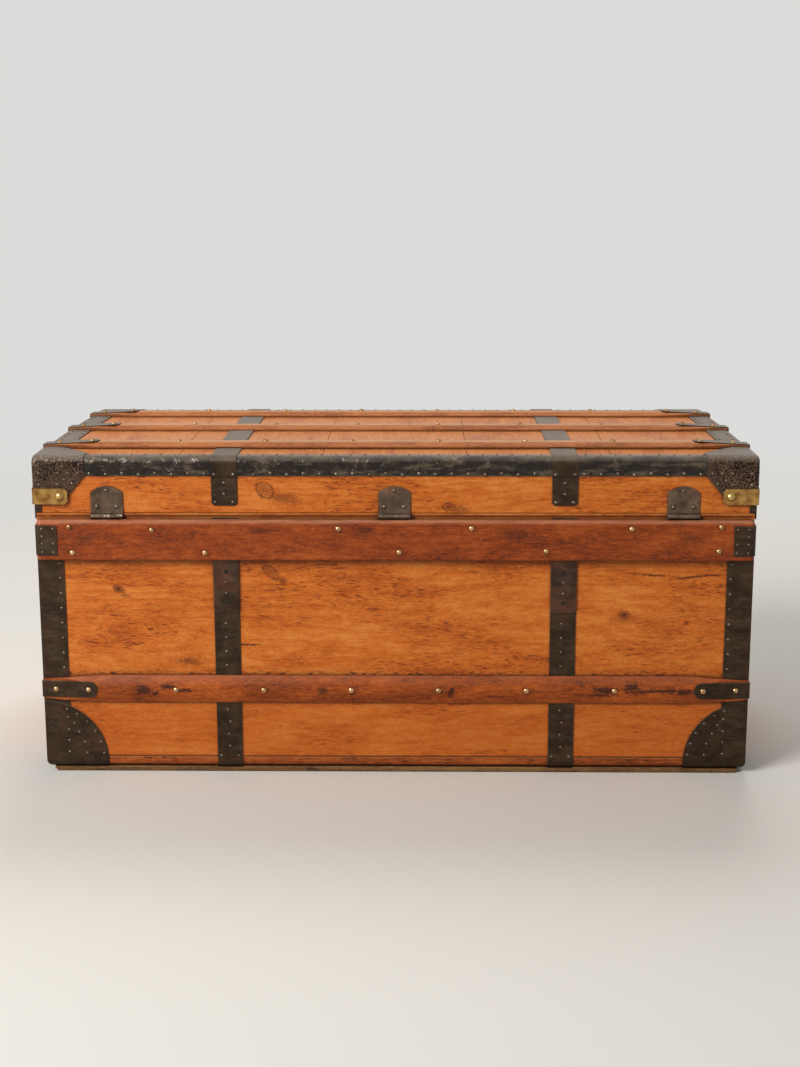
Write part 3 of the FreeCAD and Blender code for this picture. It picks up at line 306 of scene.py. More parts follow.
@dataclass(frozen=True)
class Fibres:
    """Coordinates that follow the fibres of a board.

    Attributes:
        tree: The material's node tree.
        along: Coordinate along the fibres, in millimetres.
        side: Coordinate across them, in the board's thickness or width.
        level: Coordinate upwards.
    """

    tree: bpy.types.NodeTree
    along: Source
    side: Source
    level: Source

    def noise(self, length: float, width: float, detail: float,
              bend: float = 0.0) -> bpy.types.NodeSocket:
        """Draw noise out along the fibres.

        Args:
            length: Size of the pattern along the fibres.
            width: Size across them.
            detail: Octaves of finer detail.
            bend: How far the pattern wanders out of line.

        Returns:
            A value around a half.
        """
        spots = add(self.tree, "CombineXYZ", {"X": self.along, "Y": self.side, "Z": self.level})
        spots = add(self.tree, "VectorMath", {0: spots, 1: (1 / length, 1 / width, 1 / width)},
                    operation="MULTIPLY")
        return add(self.tree, "TexNoise", {"Vector": spots, "Scale": 1.0, "Detail": detail,
                                           "Distortion": bend}).outputs[0]


@dataclass(frozen=True)
class Wood(Finish):
    """Sawn softwood or beech under old shellac.

    The saw leaves faint lines of growth rings, the open fibres hold dark polish as short dashes, seams are
    soiled, edges are rubbed and knocks go through the stain. Shade and soiling are painted into corners and
    beside the ironwork, shade is painted towards the floor, and a sheen is painted on faces that look up.

    Attributes:
        pale: Colour of the early wood.
        main: Colour of most of the wood.
        dark: Colour of the late wood and the deepest streaks.
        fleck: Colour of the filled fibres.
        stain: Colour of blotches.
        grime_and_shade: Colour of knot hearts, of soiled seams, and of the shade and soiling painted into
            corners.
        wear_and_sheen: Colour of rubbed edges, and of the sheen painted on faces that look up.
        stain_share: How much of the face is blotched, from 0 to 1.
        fleck_share: How much of the face carries dashes, from 0 to 1.
        painted_sheen_share: How strongly a sheen is painted on faces that look up, from 0 to 1.
        sheen_from: How far a face must look up for the painted sheen to start, and to be full.
        rub: How far the other edges are rubbed, from 0 to 1.
        ring: Distance between growth rings.
        ring_share: Contrast of the rings.
        fleck_size: Length and width of a dash; real fibres are finer, and are drawn this coarse to show.
        pith: Distance of the tree's heart from the trunk's middle plane, across the board.
        pith_level: Height of the tree's heart.
        board: Width of one board where several lie side by side, or 0.
        grain: The way in which the fibres run.
        gloss: Weight of the shellac's coat.
        haze: Roughness of that coat.
        roughness: Roughness of the polished wood.
        marks: Knots, cracks and stains on the hinge side.
        scrape: Heights between which something has scraped the boards upright, or nothing.
        seams: Joints and ledges in which dirt has gathered.
        foot: How strongly shade is painted on the wood towards the floor, from 0 to 1.
    """

    pale: str = "#D17E37"
    main: str = "#C1651F"
    dark: str = "#A54C10"
    fleck: str = "#6C2A06"
    stain: str = "#863C0F"
    grime_and_shade: str = "#33160A"
    wear_and_sheen: str = "#DB9A50"
    stain_share: float = 0.1
    fleck_share: float = 0.5
    painted_sheen_share: float = 0.0
    sheen_from: tuple[float, float] = (0.2, 0.8)
    rub: float = 0.25
    ring: float = 7.0
    ring_share: float = 0.1
    fleck_size: tuple[float, float] = (10.0, 1.25)
    pith: float = 95.0
    pith_level: float = 170.0
    board: float = 0.0
    grain: Grain = Grain.LENGTHWISE
    gloss: float = 0.05
    haze: float = 0.3
    roughness: float = 0.46
    marks: tuple[Mark, ...] = ()
    scrape: tuple[float, float] | None = None
    seams: tuple[Seam, ...] = ()
    foot: float = 0.0

    def surface(self, tree: bpy.types.NodeTree) -> Inputs:
        """Lay streaks, rings, dashes, marks, blotches, wear, soiled seams, painted sheen and painted shade
        over each other.

        Args:
            tree: The material's node tree.

        Returns:
            What the principled shader's inputs take.
        """
        place = add(tree, "SeparateXYZ", {"Vector": millimetres(tree)})
        fibres = self.own_fibres(tree, place)
        streak = fibres.noise(length=48.0, width=2.0, detail=4.0)
        cloud = fibres.noise(length=95.0, width=34.0, detail=4.0, bend=0.4)
        dashes = self.dash_figure(fibres, cloud)
        heart, halo = self.mark_figure(tree, place, streak)
        layers = [(dashes, self.fleck), (self.blotch_figure(fibres, streak), self.stain),
                  (halo, self.stain), (heart, self.grime_and_shade)]
        if self.scrape:
            layers.append((self.scrape_figure(tree, place, cloud), self.dark))
        # Painted shade: the boards darken towards the floor.
        if self.foot:
            start, full = FOOT_LEVELS
            low = add(tree, "MapRange", {"Value": place.outputs["Z"], "From Min": start, "From Max": full,
                                         "To Max": self.foot})
            layers.append((low, self.dark))
        # Rubbed edges, and a sheen painted on faces that look up, in one pale colour.
        layers.append((self.wear_and_sheen_figure(tree, streak), self.wear_and_sheen))
        layers += [(self.seam_figure(fibres, place, seam), self.grime_and_shade) for seam in self.seams]
        # Painted shade and soiling: the wood darkens in corners and beside battens and ironwork, where less
        # of the room's light reaches.
        corner = add(tree, "AmbientOcclusion", {"Distance": DIRT_AND_SHADE_REACH * MM}, samples=CORNER_SAMPLES)
        dirt_and_shade = add(tree, "MapRange", {"Value": corner.outputs["AO"], "From Min": 0.9, "From Max": 0.4,
                                      "To Max": 0.85})
        layers.append((dirt_and_shade, self.grime_and_shade))
        colour = self.ground(fibres, streak, cloud)
        for share, code in layers:
            colour = add(tree, "Mix", {"Factor": share, "A": colour, "B": linear(code)}, data_type="RGBA")
        height = add(tree, "Math", {0: dashes, 1: -0.6, 2: streak}, operation="MULTIPLY_ADD")
        edge = add(tree, "Bevel", {"Radius": WOOD_EDGE * MM}, samples=BEVEL_SAMPLES)
        bump = add(tree, "Bump", {"Strength": 0.5, "Distance": FIBRE_DEPTH * MM, "Height": height,
                                  "Normal": edge})
        rough = add(tree, "Math", {0: streak, 1: 0.3, 2: self.roughness - 0.15}, operation="MULTIPLY_ADD")
        return {"Base Color": colour, "Roughness": rough, "Normal": bump, "IOR": SHELLAC_IOR,
                "Specular IOR Level": WOOD_SPECULAR, "Coat Weight": self.gloss, "Coat Roughness": self.haze}

    def own_fibres(self, tree: bpy.types.NodeTree, place: bpy.types.Node) -> Fibres:
        """Cut each board from its own stretch of the tree.

        Args:
            tree: The material's node tree.
            place: The separated coordinates.

        Returns:
            The fibres' coordinates, moved on for this board.
        """
        along = place.outputs[self.grain.value]
        side = place.outputs["Y" if self.grain is Grain.LENGTHWISE else "X"]
        own = add(tree, "ObjectInfo").outputs["Random"]
        along = add(tree, "Math", {0: own, 1: OWN_STRETCH, 2: along}, operation="MULTIPLY_ADD")
        if self.board:
            count = add(tree, "Math", {0: side, 1: self.board}, operation="DIVIDE")
            count = add(tree, "Math", {0: count}, operation="FLOOR")
            along = add(tree, "Math", {0: count, 1: BOARD_STEP, 2: along}, operation="MULTIPLY_ADD")
        straight = Fibres(tree, along, side, place.outputs["Z"])
        level = straight.level
        for length, width, reach in FIBRE_WAVES:
            drift = straight.noise(length, width, detail=1.0)
            level = add(tree, "Math", {0: drift, 1: reach, 2: level}, operation="MULTIPLY_ADD")
            if self.board:
                side = add(tree, "Math", {0: drift, 1: reach, 2: side}, operation="MULTIPLY_ADD")
        return Fibres(tree, along, side, level)

    def ground(self, fibres: Fibres, streak: Source, cloud: Source) -> bpy.types.Node:
        """Give the wood's own colour, from streaks, clouds, mottles, specks and faint rings.

        Args:
            fibres: The fibres' coordinates.
            streak: Fine noise along the grain.
            cloud: Coarse noise.

        Returns:
            A colour ramp.
        """
        tree = fibres.tree
        mottle = fibres.noise(length=15.0, width=5.0, detail=3.0)
        speck = fibres.noise(length=5.0, width=1.6, detail=2.0)
        figures = ((streak, 0.35), (cloud, 0.65), (mottle, 0.5), (speck, 0.5),
                   (self.ring_figure(fibres), self.ring_share))
        tone: Source = 0.5 - 0.5 * sum(share for _, share in figures)
        for figure, share in figures:
            tone = add(tree, "Math", {0: figure, 1: share, 2: tone}, operation="MULTIPLY_ADD")
        return add(tree, "ValToRGB", {"Fac": tone}, stops=(
            (0.26, linear(self.pale)), (0.50, linear(self.main)), (0.74, linear(self.dark))))

    def ring_figure(self, fibres: Fibres) -> bpy.types.Node:
        """Draw growth rings where the saw met them: pale early wood that deepens to a thin dark line.

        Args:
            fibres: The fibres' coordinates.

        Returns:
            A value from 0 in early wood to 1 in late wood.
        """
        tree = fibres.tree
        if self.board:
            across = add(tree, "Math", {0: fibres.side, 1: self.board}, operation="FLOORED_MODULO")
            across = add(tree, "Math", {0: across, 1: self.board / 2}, operation="SUBTRACT")
            depth = add(tree, "Math", {0: fibres.level, 1: self.pith_level}, operation="SUBTRACT")
        else:
            across = add(tree, "Math", {0: fibres.level, 1: self.pith_level}, operation="SUBTRACT")
            depth = add(tree, "Math", {0: fibres.side}, operation="ABSOLUTE")
            depth = add(tree, "Math", {0: depth, 1: self.pith}, operation="SUBTRACT")
        flat = add(tree, "CombineXYZ", {"X": across, "Y": depth})
        radius = add(tree, "VectorMath", {0: flat}, operation="LENGTH").outputs["Value"]
        for length, width, reach in RING_WAVES:
            drift = fibres.noise(length, width, detail=1.0)
            radius = add(tree, "Math", {0: drift, 1: reach, 2: radius}, operation="MULTIPLY_ADD")
        turns = add(tree, "Math", {0: radius, 1: self.ring}, operation="DIVIDE")
        saw = add(tree, "Math", {0: turns}, operation="FRACT")
        stops = ((0.0, 0.25), (0.45, 0.1), (0.82, 0.9), (0.93, 1.0), (1.0, 0.25))
        return add(tree, "ValToRGB", {"Fac": saw},
                   stops=[(at, (tone, tone, tone, 1)) for at, tone in stops])

    def dash_figure(self, fibres: Fibres, cloud: Source) -> bpy.types.Node:
        """Draw short dark dashes, gathered in patches.

        Args:
            fibres: The fibres' coordinates.
            cloud: Coarse noise that says where the dashes gather.

        Returns:
            A value from 0 to about 0.9.
        """
        tree = fibres.tree
        length, width = self.fleck_size
        fine = fibres.noise(length, width, detail=2.0)
        gather = add(tree, "MapRange", {"Value": cloud, "From Min": 0.62 - 0.3 * self.fleck_share,
                                        "From Max": 0.72 - 0.2 * self.fleck_share,
                                        "To Min": 0.1, "To Max": 0.95})
        sharp = add(tree, "MapRange", {"Value": fine, "From Min": 0.57, "From Max": 0.65})
        return add(tree, "Math", {0: gather, 1: sharp}, operation="MULTIPLY")

    def blotch_figure(self, fibres: Fibres, streak: Source) -> bpy.types.Node:
        """Draw dark blotches with edges frayed along the fibres.

        Args:
            fibres: The fibres' coordinates.
            streak: Fine noise along the grain.

        Returns:
            A value from 0 to 0.75.
        """
        blot = fibres.noise(length=38.0, width=13.0, detail=5.0)
        blot = add(fibres.tree, "Math", {0: streak, 1: 0.4, 2: blot}, operation="MULTIPLY_ADD")
        start = 0.98 - 0.4 * self.stain_share
        return add(fibres.tree, "MapRange", {"Value": blot, "From Min": start, "From Max": start + 0.14,
                                             "To Max": 0.75})

    def mark_figure(self, tree: bpy.types.NodeTree, place: bpy.types.Node,
                    streak: Source) -> tuple[Source, Source]:
        """Draw the knots, cracks and stains of the hinge side.

        Args:
            tree: The material's node tree.
            place: The separated coordinates.
            streak: Fine noise along the grain, which breaks the marks up.

        Returns:
            The shares of dark heart and of brown halo.
        """
        heart: Source = 0.0
        halo: Source = 0.0
        spots = add(tree, "CombineXYZ", {"X": place.outputs["X"], "Z": place.outputs["Z"]})
        crumb = add(tree, "TexNoise", {"Vector": spots, "Scale": 1 / CRUMB, "Detail": 4.0})
        fray = add(tree, "Math", {0: streak, 1: FRAY_SHARE, 2: crumb}, operation="MULTIPLY_ADD")
        behind = add(tree, "Math", {0: place.outputs["Y"], 1: 0.0}, operation="LESS_THAN")
        behind = add(tree, "Math", {0: behind, 1: outer_faces(tree)}, operation="MULTIPLY")
        for mark in self.marks:
            loose, inset, outset = mark.kind.value
            middle = (mark.along, 0.0, mark.level)
            away = add(tree, "VectorRotate", {"Vector": spots, "Center": middle,
                                              "Angle": math.radians(-mark.lean)}, rotation_type="Y_AXIS")
            away = add(tree, "VectorMath", {0: away, 1: middle}, operation="SUBTRACT")
            away = add(tree, "VectorMath", {0: away, 1: (1 / mark.length, 1.0, 1 / mark.width)},
                       operation="MULTIPLY")
            reach = add(tree, "VectorMath", {0: away}, operation="LENGTH").outputs["Value"]
            reach = add(tree, "Math", {0: fray, 1: loose, 2: reach}, operation="MULTIPLY_ADD")
            edge = 1.0 + (0.5 + 0.5 * FRAY_SHARE) * loose  # the outline, moved out by the mean of its fraying
            core = add(tree, "MapRange", {"Value": reach, "From Min": edge - inset,
                                          "From Max": edge - HEART_DEPTH, "To Max": mark.heart})
            knot = mark.kind is MarkKind.KNOT
            fringe = add(tree, "MapRange", {"Value": reach, "From Min": edge + outset, "From Max": edge - 0.1,
                                            "To Max": 0.7 if knot else 0.3 + 0.4 * mark.heart})
            if knot:
                rim, rings = self.knot_figure(tree, reach, edge)
                core = add(tree, "Math", {0: core, 1: rim}, operation="MAXIMUM")
                fringe = add(tree, "Math", {0: fringe, 1: rings}, operation="MULTIPLY")
            heart = add(tree, "Math", {0: core, 1: heart}, operation="MAXIMUM")
            halo = add(tree, "Math", {0: fringe, 1: halo}, operation="MAXIMUM")
        heart = add(tree, "Math", {0: heart, 1: behind}, operation="MULTIPLY")
        return heart, add(tree, "Math", {0: halo, 1: behind}, operation="MULTIPLY")

    def knot_figure(self, tree: bpy.types.NodeTree, reach: Source,
                    edge: float) -> tuple[bpy.types.Node, bpy.types.Node]:
        """Draw a knot's dark rim and the rings inside it.

        Args:
            tree: The material's node tree.
            reach: Distance from the knot's middle, frayed.
            edge: Its value on the knot's outline.

        Returns:
            The share of the rim, and the strength of the rings.
        """
        rim = add(tree, "Math", {0: reach, 1: edge}, operation="SUBTRACT")
        rim = add(tree, "Math", {0: rim}, operation="ABSOLUTE")
        rim = add(tree, "MapRange", {"Value": rim, "From Min": 0.22, "From Max": 0.04, "To Max": 0.55})
        rings = add(tree, "Math", {0: reach, 1: KNOT_RING_TURN}, operation="MULTIPLY")
        rings = add(tree, "Math", {0: rings}, operation="SINE")
        return rim, add(tree, "MapRange", {"Value": rings, "From Min": -1.0, "To Min": 0.35})

    def seam_figure(self, fibres: Fibres, place: bpy.types.Node, seam: Seam) -> bpy.types.Node:
        """Draw a broken line of dirt along a joint or a ledge.

        Args:
            fibres: The fibres' coordinates.
            place: The separated coordinates.
            seam: The joint or ledge.

        Returns:
            A value from 0 to about 0.9.
        """
        tree = fibres.tree
        away = add(tree, "Math", {0: place.outputs["Z"], 1: seam.level}, operation="SUBTRACT")
        away = add(tree, "Math", {0: away}, operation="ABSOLUTE")
        near = add(tree, "MapRange", {"Value": away, "From Min": seam.reach, "From Max": 0.25 * seam.reach})
        gap = fibres.noise(length=9.0, width=3.5, detail=3.0)
        start = 0.2 + 0.34 * seam.broken
        gap = add(tree, "MapRange", {"Value": gap, "From Min": start, "From Max": start + 0.14,
                                     "To Max": 0.9})
        near = add(tree, "Math", {0: near, 1: outer_faces(tree)}, operation="MULTIPLY")
        return add(tree, "Math", {0: near, 1: gap}, operation="MULTIPLY")

    def scrape_figure(self, tree: bpy.types.NodeTree, place: bpy.types.Node,
                      cloud: Source) -> bpy.types.Node:
        """Draw short upright scrapes in a belt of the board.

        Args:
            tree: The material's node tree.
            place: The separated coordinates.
            cloud: Coarse noise that says where the scrapes gather.

        Returns:
            A value from 0 to 0.6.
        """
        low, high = self.scrape
        width, length = SCRAPE_SIZE
        spots = add(tree, "CombineXYZ", {"X": place.outputs["X"], "Z": place.outputs["Z"]})
        spots = add(tree, "VectorMath", {0: spots, 1: (1 / width, 1.0, 1 / length)}, operation="MULTIPLY")
        line = add(tree, "TexNoise", {"Vector": spots, "Scale": 1.0, "Detail": 1.0})
        line = add(tree, "MapRange", {"Value": line, "From Min": 0.56, "From Max": 0.7, "To Max": 0.6})
        belt = add(tree, "MapRange", {"Value": place.outputs["Z"], "From Min": low, "From Max": high})
        patch = add(tree, "MapRange", {"Value": cloud, "From Min": 0.42, "From Max": 0.6})
        belt = add(tree, "Math", {0: belt, 1: patch}, operation="MULTIPLY")
        below = add(tree, "Math", {0: place.outputs["Z"], 1: high + SCRAPE_END}, operation="LESS_THAN")
        below = add(tree, "Math", {0: below, 1: outer_faces(tree)}, operation="MULTIPLY")
        belt = add(tree, "Math", {0: belt, 1: below}, operation="MULTIPLY")
        return add(tree, "Math", {0: belt, 1: line}, operation="MULTIPLY")

    def wear_and_sheen_figure(self, tree: bpy.types.NodeTree, streak: Source) -> bpy.types.Node:
        """Find where hands have rubbed the edges, and where a sheen is painted on what faces upwards.

        Args:
            tree: The material's node tree.
            streak: Fine noise along the grain, which breaks the wear and the painted sheen up.

        Returns:
            A value from 0 to 1.
        """
        worn = rubbed_edges(tree, RUBBED_WOOD, self.rub)
        # Painted sheen: faces that look up are made paler, as if they mirrored the room.
        if self.painted_sheen_share:
            start, full = self.sheen_from
            upper = add(tree, "MapRange", {"Value": upward(tree), "From Min": start, "From Max": full,
                                           "To Max": self.painted_sheen_share})
            worn = add(tree, "Math", {0: worn, 1: upper}, operation="MAXIMUM")
        broken = add(tree, "MapRange", {"Value": streak, "From Min": 0.35, "From Max": 0.58,
                                        "To Min": 0.35})
        return add(tree, "Math", {0: worn, 1: broken}, operation="MULTIPLY")


@dataclass(frozen=True)
class SheetIron(Finish):
    """Rolled sheet iron, browned or japanned, then rubbed for a century.

    The coat is dark and uneven, rust shows through it in patches, pits are black, edges and scratches are
    rubbed to bare grey metal, and what faces upwards is dusty and painted with a pale sheen.

    Attributes:
        coat: Colour of the sound coat.
        rust: Colour where rust has come through.
        bare: Colour of rubbed edges and scratches.
        rust_share: How much is rusted, from 0 to 1.
        pit: Size of a pit, or 0 for none.
        scuff: Strength of scratches and scuffs, from 0 to 1.
        metallic: How far the surface is bare metal.
        roughness: Roughness of the sound coat.
        dent: Depth of the dents.
        dent_size: Distance between them.
        dust_and_sheen: How far upper faces are rubbed, dusty and painted with a pale sheen, from 0 to 1.
    """

    coat: str = "#3A2A1B"
    rust: str = "#482C1B"
    bare: str = "#766857"
    rust_share: float = 0.3
    pit: float = 0.0
    scuff: float = 0.45
    metallic: float = 0.75
    roughness: float = 0.5
    dent: float = 0.25
    dent_size: float = 26.0
    dust_and_sheen: float = 0.85

    def surface(self, tree: bpy.types.NodeTree) -> Inputs:
        """Lay rust, pits, scratches, rubbed edges, and the dusty, painted sheen of upper faces over the coat.

        Args:
            tree: The material's node tree.

        Returns:
            What the principled shader's inputs take.
        """
        place = millimetres(tree)
        cloud = add(tree, "TexNoise", {"Vector": place, "Scale": 1 / RUST_PATCH, "Detail": 5.0})
        speck = add(tree, "TexNoise", {"Vector": place, "Scale": 1 / GRIT, "Detail": 4.0})
        bend = add(tree, "TexNoise", {"Vector": place, "Scale": 1 / self.dent_size, "Detail": 3.0,
                                      "Distortion": 0.7})
        haze = add(tree, "TexNoise", {"Vector": place, "Scale": 1 / HAZE_PATCH, "Detail": 4.0,
                                      "Distortion": 0.6})
        start = 0.68 - 0.36 * self.rust_share
        rusty = add(tree, "MapRange", {"Value": cloud, "From Min": start, "From Max": start + 0.16,
                                       "To Max": 0.85})
        colour = add(tree, "Mix", {"Factor": rusty, "A": linear(self.coat), "B": linear(self.rust)},
                     data_type="RGBA")
        for noise, darkest, palest in ((haze, 0.55, 1.35), (speck, 0.8, 1.16)):
            tone = add(tree, "MapRange", {"Value": noise, "From Min": 0.3, "From Max": 0.7,
                                          "To Min": darkest, "To Max": palest})
            colour = add(tree, "Mix", {"Factor": 1.0, "A": colour, "B": tone}, data_type="RGBA",
                         blend_type="MULTIPLY")
        layers: list[tuple[Source, str]] = []
        height: Source = bend
        if self.pit:
            pits = add(tree, "TexNoise", {"Vector": place, "Scale": 1 / self.pit, "Detail": 4.0})
            pits = add(tree, "Math", {0: cloud, 1: 0.6, 2: pits}, operation="MULTIPLY_ADD")
            pits = add(tree, "MapRange", {"Value": pits, "From Min": 0.78, "From Max": 0.9})
            layers.append((pits, PIT_DIRT))
            height = add(tree, "Math", {0: pits, 1: -0.5, 2: bend}, operation="MULTIPLY_ADD")
        layers.append((self.worn_figure(tree, place, cloud), self.bare))
        # Dusty film and painted sheen: faces that look up are made pale grey.
        layers.append((self.dust_and_sheen_figure(tree, cloud), DUST_AND_SHEEN))
        for share, code in layers:
            colour = add(tree, "Mix", {"Factor": share, "A": colour, "B": linear(code)}, data_type="RGBA")
        rough = add(tree, "MapRange", {"Value": cloud, "From Min": 0.3, "From Max": 0.7,
                                       "To Min": self.roughness - 0.1, "To Max": self.roughness + 0.14})
        edge = add(tree, "Bevel", {"Radius": METAL_EDGE * MM}, samples=BEVEL_SAMPLES)
        bump = add(tree, "Bump", {"Strength": 0.7, "Distance": self.dent * MM, "Height": height,
                                  "Normal": edge})
        return {"Base Color": colour, "Roughness": rough, "Normal": bump, "Metallic": self.metallic}

    def dust_and_sheen_figure(self, tree: bpy.types.NodeTree, cloud: Source) -> bpy.types.Node:
        """Find where faces that look up are dusty and painted with a sheen.

        Args:
            tree: The material's node tree.
            cloud: Coarse noise that makes the dusty sheen uneven.

        Returns:
            The share of pale grey, from 0 to 1.
        """
        dust_and_sheen = add(tree, "MapRange", {"Value": upward(tree), "From Min": 0.25, "From Max": 0.97,
                                      "To Max": self.dust_and_sheen})
        uneven = add(tree, "MapRange", {"Value": cloud, "From Min": 0.3, "From Max": 0.65, "To Min": 0.55})
        return add(tree, "Math", {0: dust_and_sheen, 1: uneven}, operation="MULTIPLY")

    def worn_figure(self, tree: bpy.types.NodeTree, place: Source, cloud: Source) -> bpy.types.Node:
        """Draw soft scuffs, scratches in two directions and rubbed edges.

        Args:
            tree: The material's node tree.
            place: Coordinates in millimetres.
            cloud: Coarse noise that breaks the wear up.

        Returns:
            The share of bare metal, from 0 to 1.
        """
        smear = add(tree, "VectorMath", {0: place, 1: [1 / size for size in SMEAR]}, operation="MULTIPLY")
        smear = add(tree, "TexNoise", {"Vector": smear, "Scale": 1.0, "Detail": 6.0, "Roughness": 0.65})
        worn = add(tree, "MapRange", {"Value": smear, "From Min": 0.5, "From Max": 0.85,
                                      "To Max": 0.8 * self.scuff})
        for turn in SCRATCH_TURNS:
            lean = add(tree, "VectorRotate", {"Vector": place, "Rotation": (turn, turn, turn)},
                       rotation_type="EULER_XYZ")
            lean = add(tree, "VectorMath", {0: lean, 1: [1 / size for size in SCRATCH]},
                       operation="MULTIPLY")
            line = add(tree, "TexNoise", {"Vector": lean, "Scale": 1.0, "Detail": 1.0})
            line = add(tree, "MapRange", {"Value": line, "From Min": 0.7, "From Max": 0.8,
                                          "To Max": 0.5 * self.scuff})
            worn = add(tree, "Math", {0: line, 1: worn}, operation="MAXIMUM")
        rubbed = rubbed_edges(tree, RUBBED_IRON, self.scuff)
        broken = add(tree, "MapRange", {"Value": cloud, "From Min": 0.35, "From Max": 0.6})
        rubbed = add(tree, "Math", {0: rubbed, 1: broken}, operation="MULTIPLY")
        return add(tree, "Math", {0: rubbed, 1: worn}, operation="MAXIMUM")


@dataclass(frozen=True)
class Brass(Finish):
    """Stamped or turned brass, bright where hands rub it and brown where they don't.

    Attributes:
        bright: Colour of rubbed brass.
        tarnish: Colour of the brown film.
        roughness: Roughness of the rubbed metal.
    """

    bright: str = "#BD9353"
    tarnish: str = "#6E4521"
    roughness: float = 0.26

    def surface(self, tree: bpy.types.NodeTree) -> Inputs:
        """Mix the brown film over the bright metal and let it dull the gloss.

        Args:
            tree: The material's node tree.

        Returns:
            What the principled shader's inputs take.
        """
        place = millimetres(tree)
        film = add(tree, "TexNoise", {"Vector": place, "Scale": 1 / FILM_PATCH, "Detail": 5.0})
        film = add(tree, "MapRange", {"Value": film, "From Min": 0.38, "From Max": 0.68})
        corner = add(tree, "AmbientOcclusion", {"Distance": TARNISH_REACH * MM}, samples=CORNER_SAMPLES)
        deep = add(tree, "MapRange", {"Value": corner.outputs["AO"], "From Min": 0.95, "From Max": 0.5})
        film = add(tree, "Math", {0: film, 1: deep}, operation="MAXIMUM")
        colour = add(tree, "Mix", {"Factor": film, "A": linear(self.bright), "B": linear(self.tarnish)},
                     data_type="RGBA")
        rough = add(tree, "Math", {0: film, 1: 0.2, 2: self.roughness}, operation="MULTIPLY_ADD")
        dimple = add(tree, "TexNoise", {"Vector": place, "Scale": 1 / DIMPLE, "Detail": 2.0})
        edge = add(tree, "Bevel", {"Radius": METAL_EDGE * MM}, samples=BEVEL_SAMPLES)
        bump = add(tree, "Bump", {"Strength": 0.4, "Distance": DIMPLE_DEPTH * MM, "Height": dimple,
                                  "Normal": edge})
        return {"Base Color": colour, "Roughness": rough, "Normal": bump, "Metallic": 1.0}


# Pine boards, planed, stained orange and shellacked: warm and satin, with faint streaks, dark dashes and old
# knots.
PINE = Wood("shellacked pine", scrape=(248.0, 284.0), foot=0.4, marks=(
    Mark(-350, 243, 6.5, 5.0, lean=30.0, kind=MarkKind.KNOT), Mark(-345, 238, 9.0, 3.0, lean=35.0, heart=0.4),
    Mark(-156, 265, 12.0, 6.0, lean=40.0, heart=0.25, kind=MarkKind.KNOT),
    Mark(-142, 254, 5.0, 4.0, lean=50.0, heart=0.5),
    Mark(290, 210, 6.5, 5.0, kind=MarkKind.KNOT), Mark(292, 206, 14.0, 5.0, heart=0.15),
    Mark(-162, 370, 12.0, 8.5, lean=35.0, heart=0.2, kind=MarkKind.KNOT),
    Mark(-138, 360, 16.0, 6.0, lean=15.0, heart=0.35),
    Mark(68, 349, 8.0, 5.0, heart=0.5, kind=MarkKind.KNOT), Mark(80, 346, 12.0, 3.5, heart=0.4),
    Mark(322, 262, 22.0, 1.2, lean=4.0), Mark(372, 259, 24.0, 1.4, lean=-6.0), Mark(402, 262, 16.0, 1.2),
    Mark(411, 248, 8.0, 2.0, heart=0.4), Mark(-262, 148, 18.0, 4.0, heart=0.45), Mark(-190, 170, 14.0, 1.2),
    Mark(205, 152, 20.0, 3.5, heart=0.45)),
    seams=(Seam(20.5, 3.0, 0.1), Seam(337.0, 1.6, 0.2), Seam(131.0, 7.0, 0.92)))
PINE_END = Wood("shellacked pine, end boards", foot=0.4, pith=330.0, pith_level=150.0, grain=Grain.CROSSWISE,
                seams=(Seam(20.5, 3.0, 0.1), Seam(337.0, 1.6, 0.2)))
# The same pine on top, polished higher: it mirrors the room when seen at a flat angle.
PINE_TOP = Wood("shellacked pine, top boards", pale="#CC823F", main="#BC6E30", dark="#A25522",
                pith_level=352.0, board=180.0, grain=Grain.CROSSWISE, ring_share=0.05, fleck_share=0.3,
                gloss=0.14, haze=0.2)
# Beech battens, stained red brown under the shellac and knocked ever since: dark, with fine fibres, black
# bruises, rubbed edges, and a dusty rose sheen painted on what faces up.
BEECH_RAIL = Wood("red stained beech", pale="#A9521C", main="#89390D", dark="#622405", fleck="#3A1506",
                  stain="#361608", grime_and_shade="#241007", wear_and_sheen="#BC8262", stain_share=0.3, fleck_share=0.6,
                  painted_sheen_share=0.8, rub=0.4, ring=4.0, ring_share=0.05, fleck_size=(7.0, 0.9), pith=190.0,
                  pith_level=300.0, roughness=0.42, marks=(
                      Mark(-385, 311, 8.0, 4.0, heart=0.15), Mark(-250, 318, 5.0, 1.5, heart=0.3),
                      Mark(-168, 321, 12.0, 2.5, heart=0.3), Mark(-36, 322, 7.0, 3.5, heart=0.25),
                      Mark(150, 317, 16.0, 6.0, heart=0.1), Mark(372, 312, 14.0, 6.0, heart=0.15)))
BEECH_SLAT = Wood("worn stained beech", pale="#B55A1D", main="#944310", dark="#6B2B07", fleck="#381506",
                  stain="#381708", grime_and_shade="#281107", wear_and_sheen="#A06448", stain_share=0.32, fleck_share=0.6,
                  painted_sheen_share=0.6, rub=0.4, ring=4.0, ring_share=0.05, fleck_size=(7.0, 0.9), pith=190.0,
                  pith_level=90.0, roughness=0.44, marks=(
                      Mark(-320, 112, 9.0, 6.0), Mark(-306, 108, 6.0, 3.0), Mark(-290, 117, 8.0, 4.0),
                      Mark(-268, 112, 10.0, 2.0), Mark(-92, 112, 5.0, 6.0, heart=0.5),
                      Mark(72, 111, 3.0, 7.0, lean=20.0), Mark(268, 112, 12.0, 5.0),
                      Mark(258, 107, 10.0, 2.0), Mark(302, 116, 10.0, 6.5), Mark(318, 112, 16.0, 2.0),
                      Mark(346, 113, 22.0, 2.6), Mark(366, 111, 12.0, 3.5)))
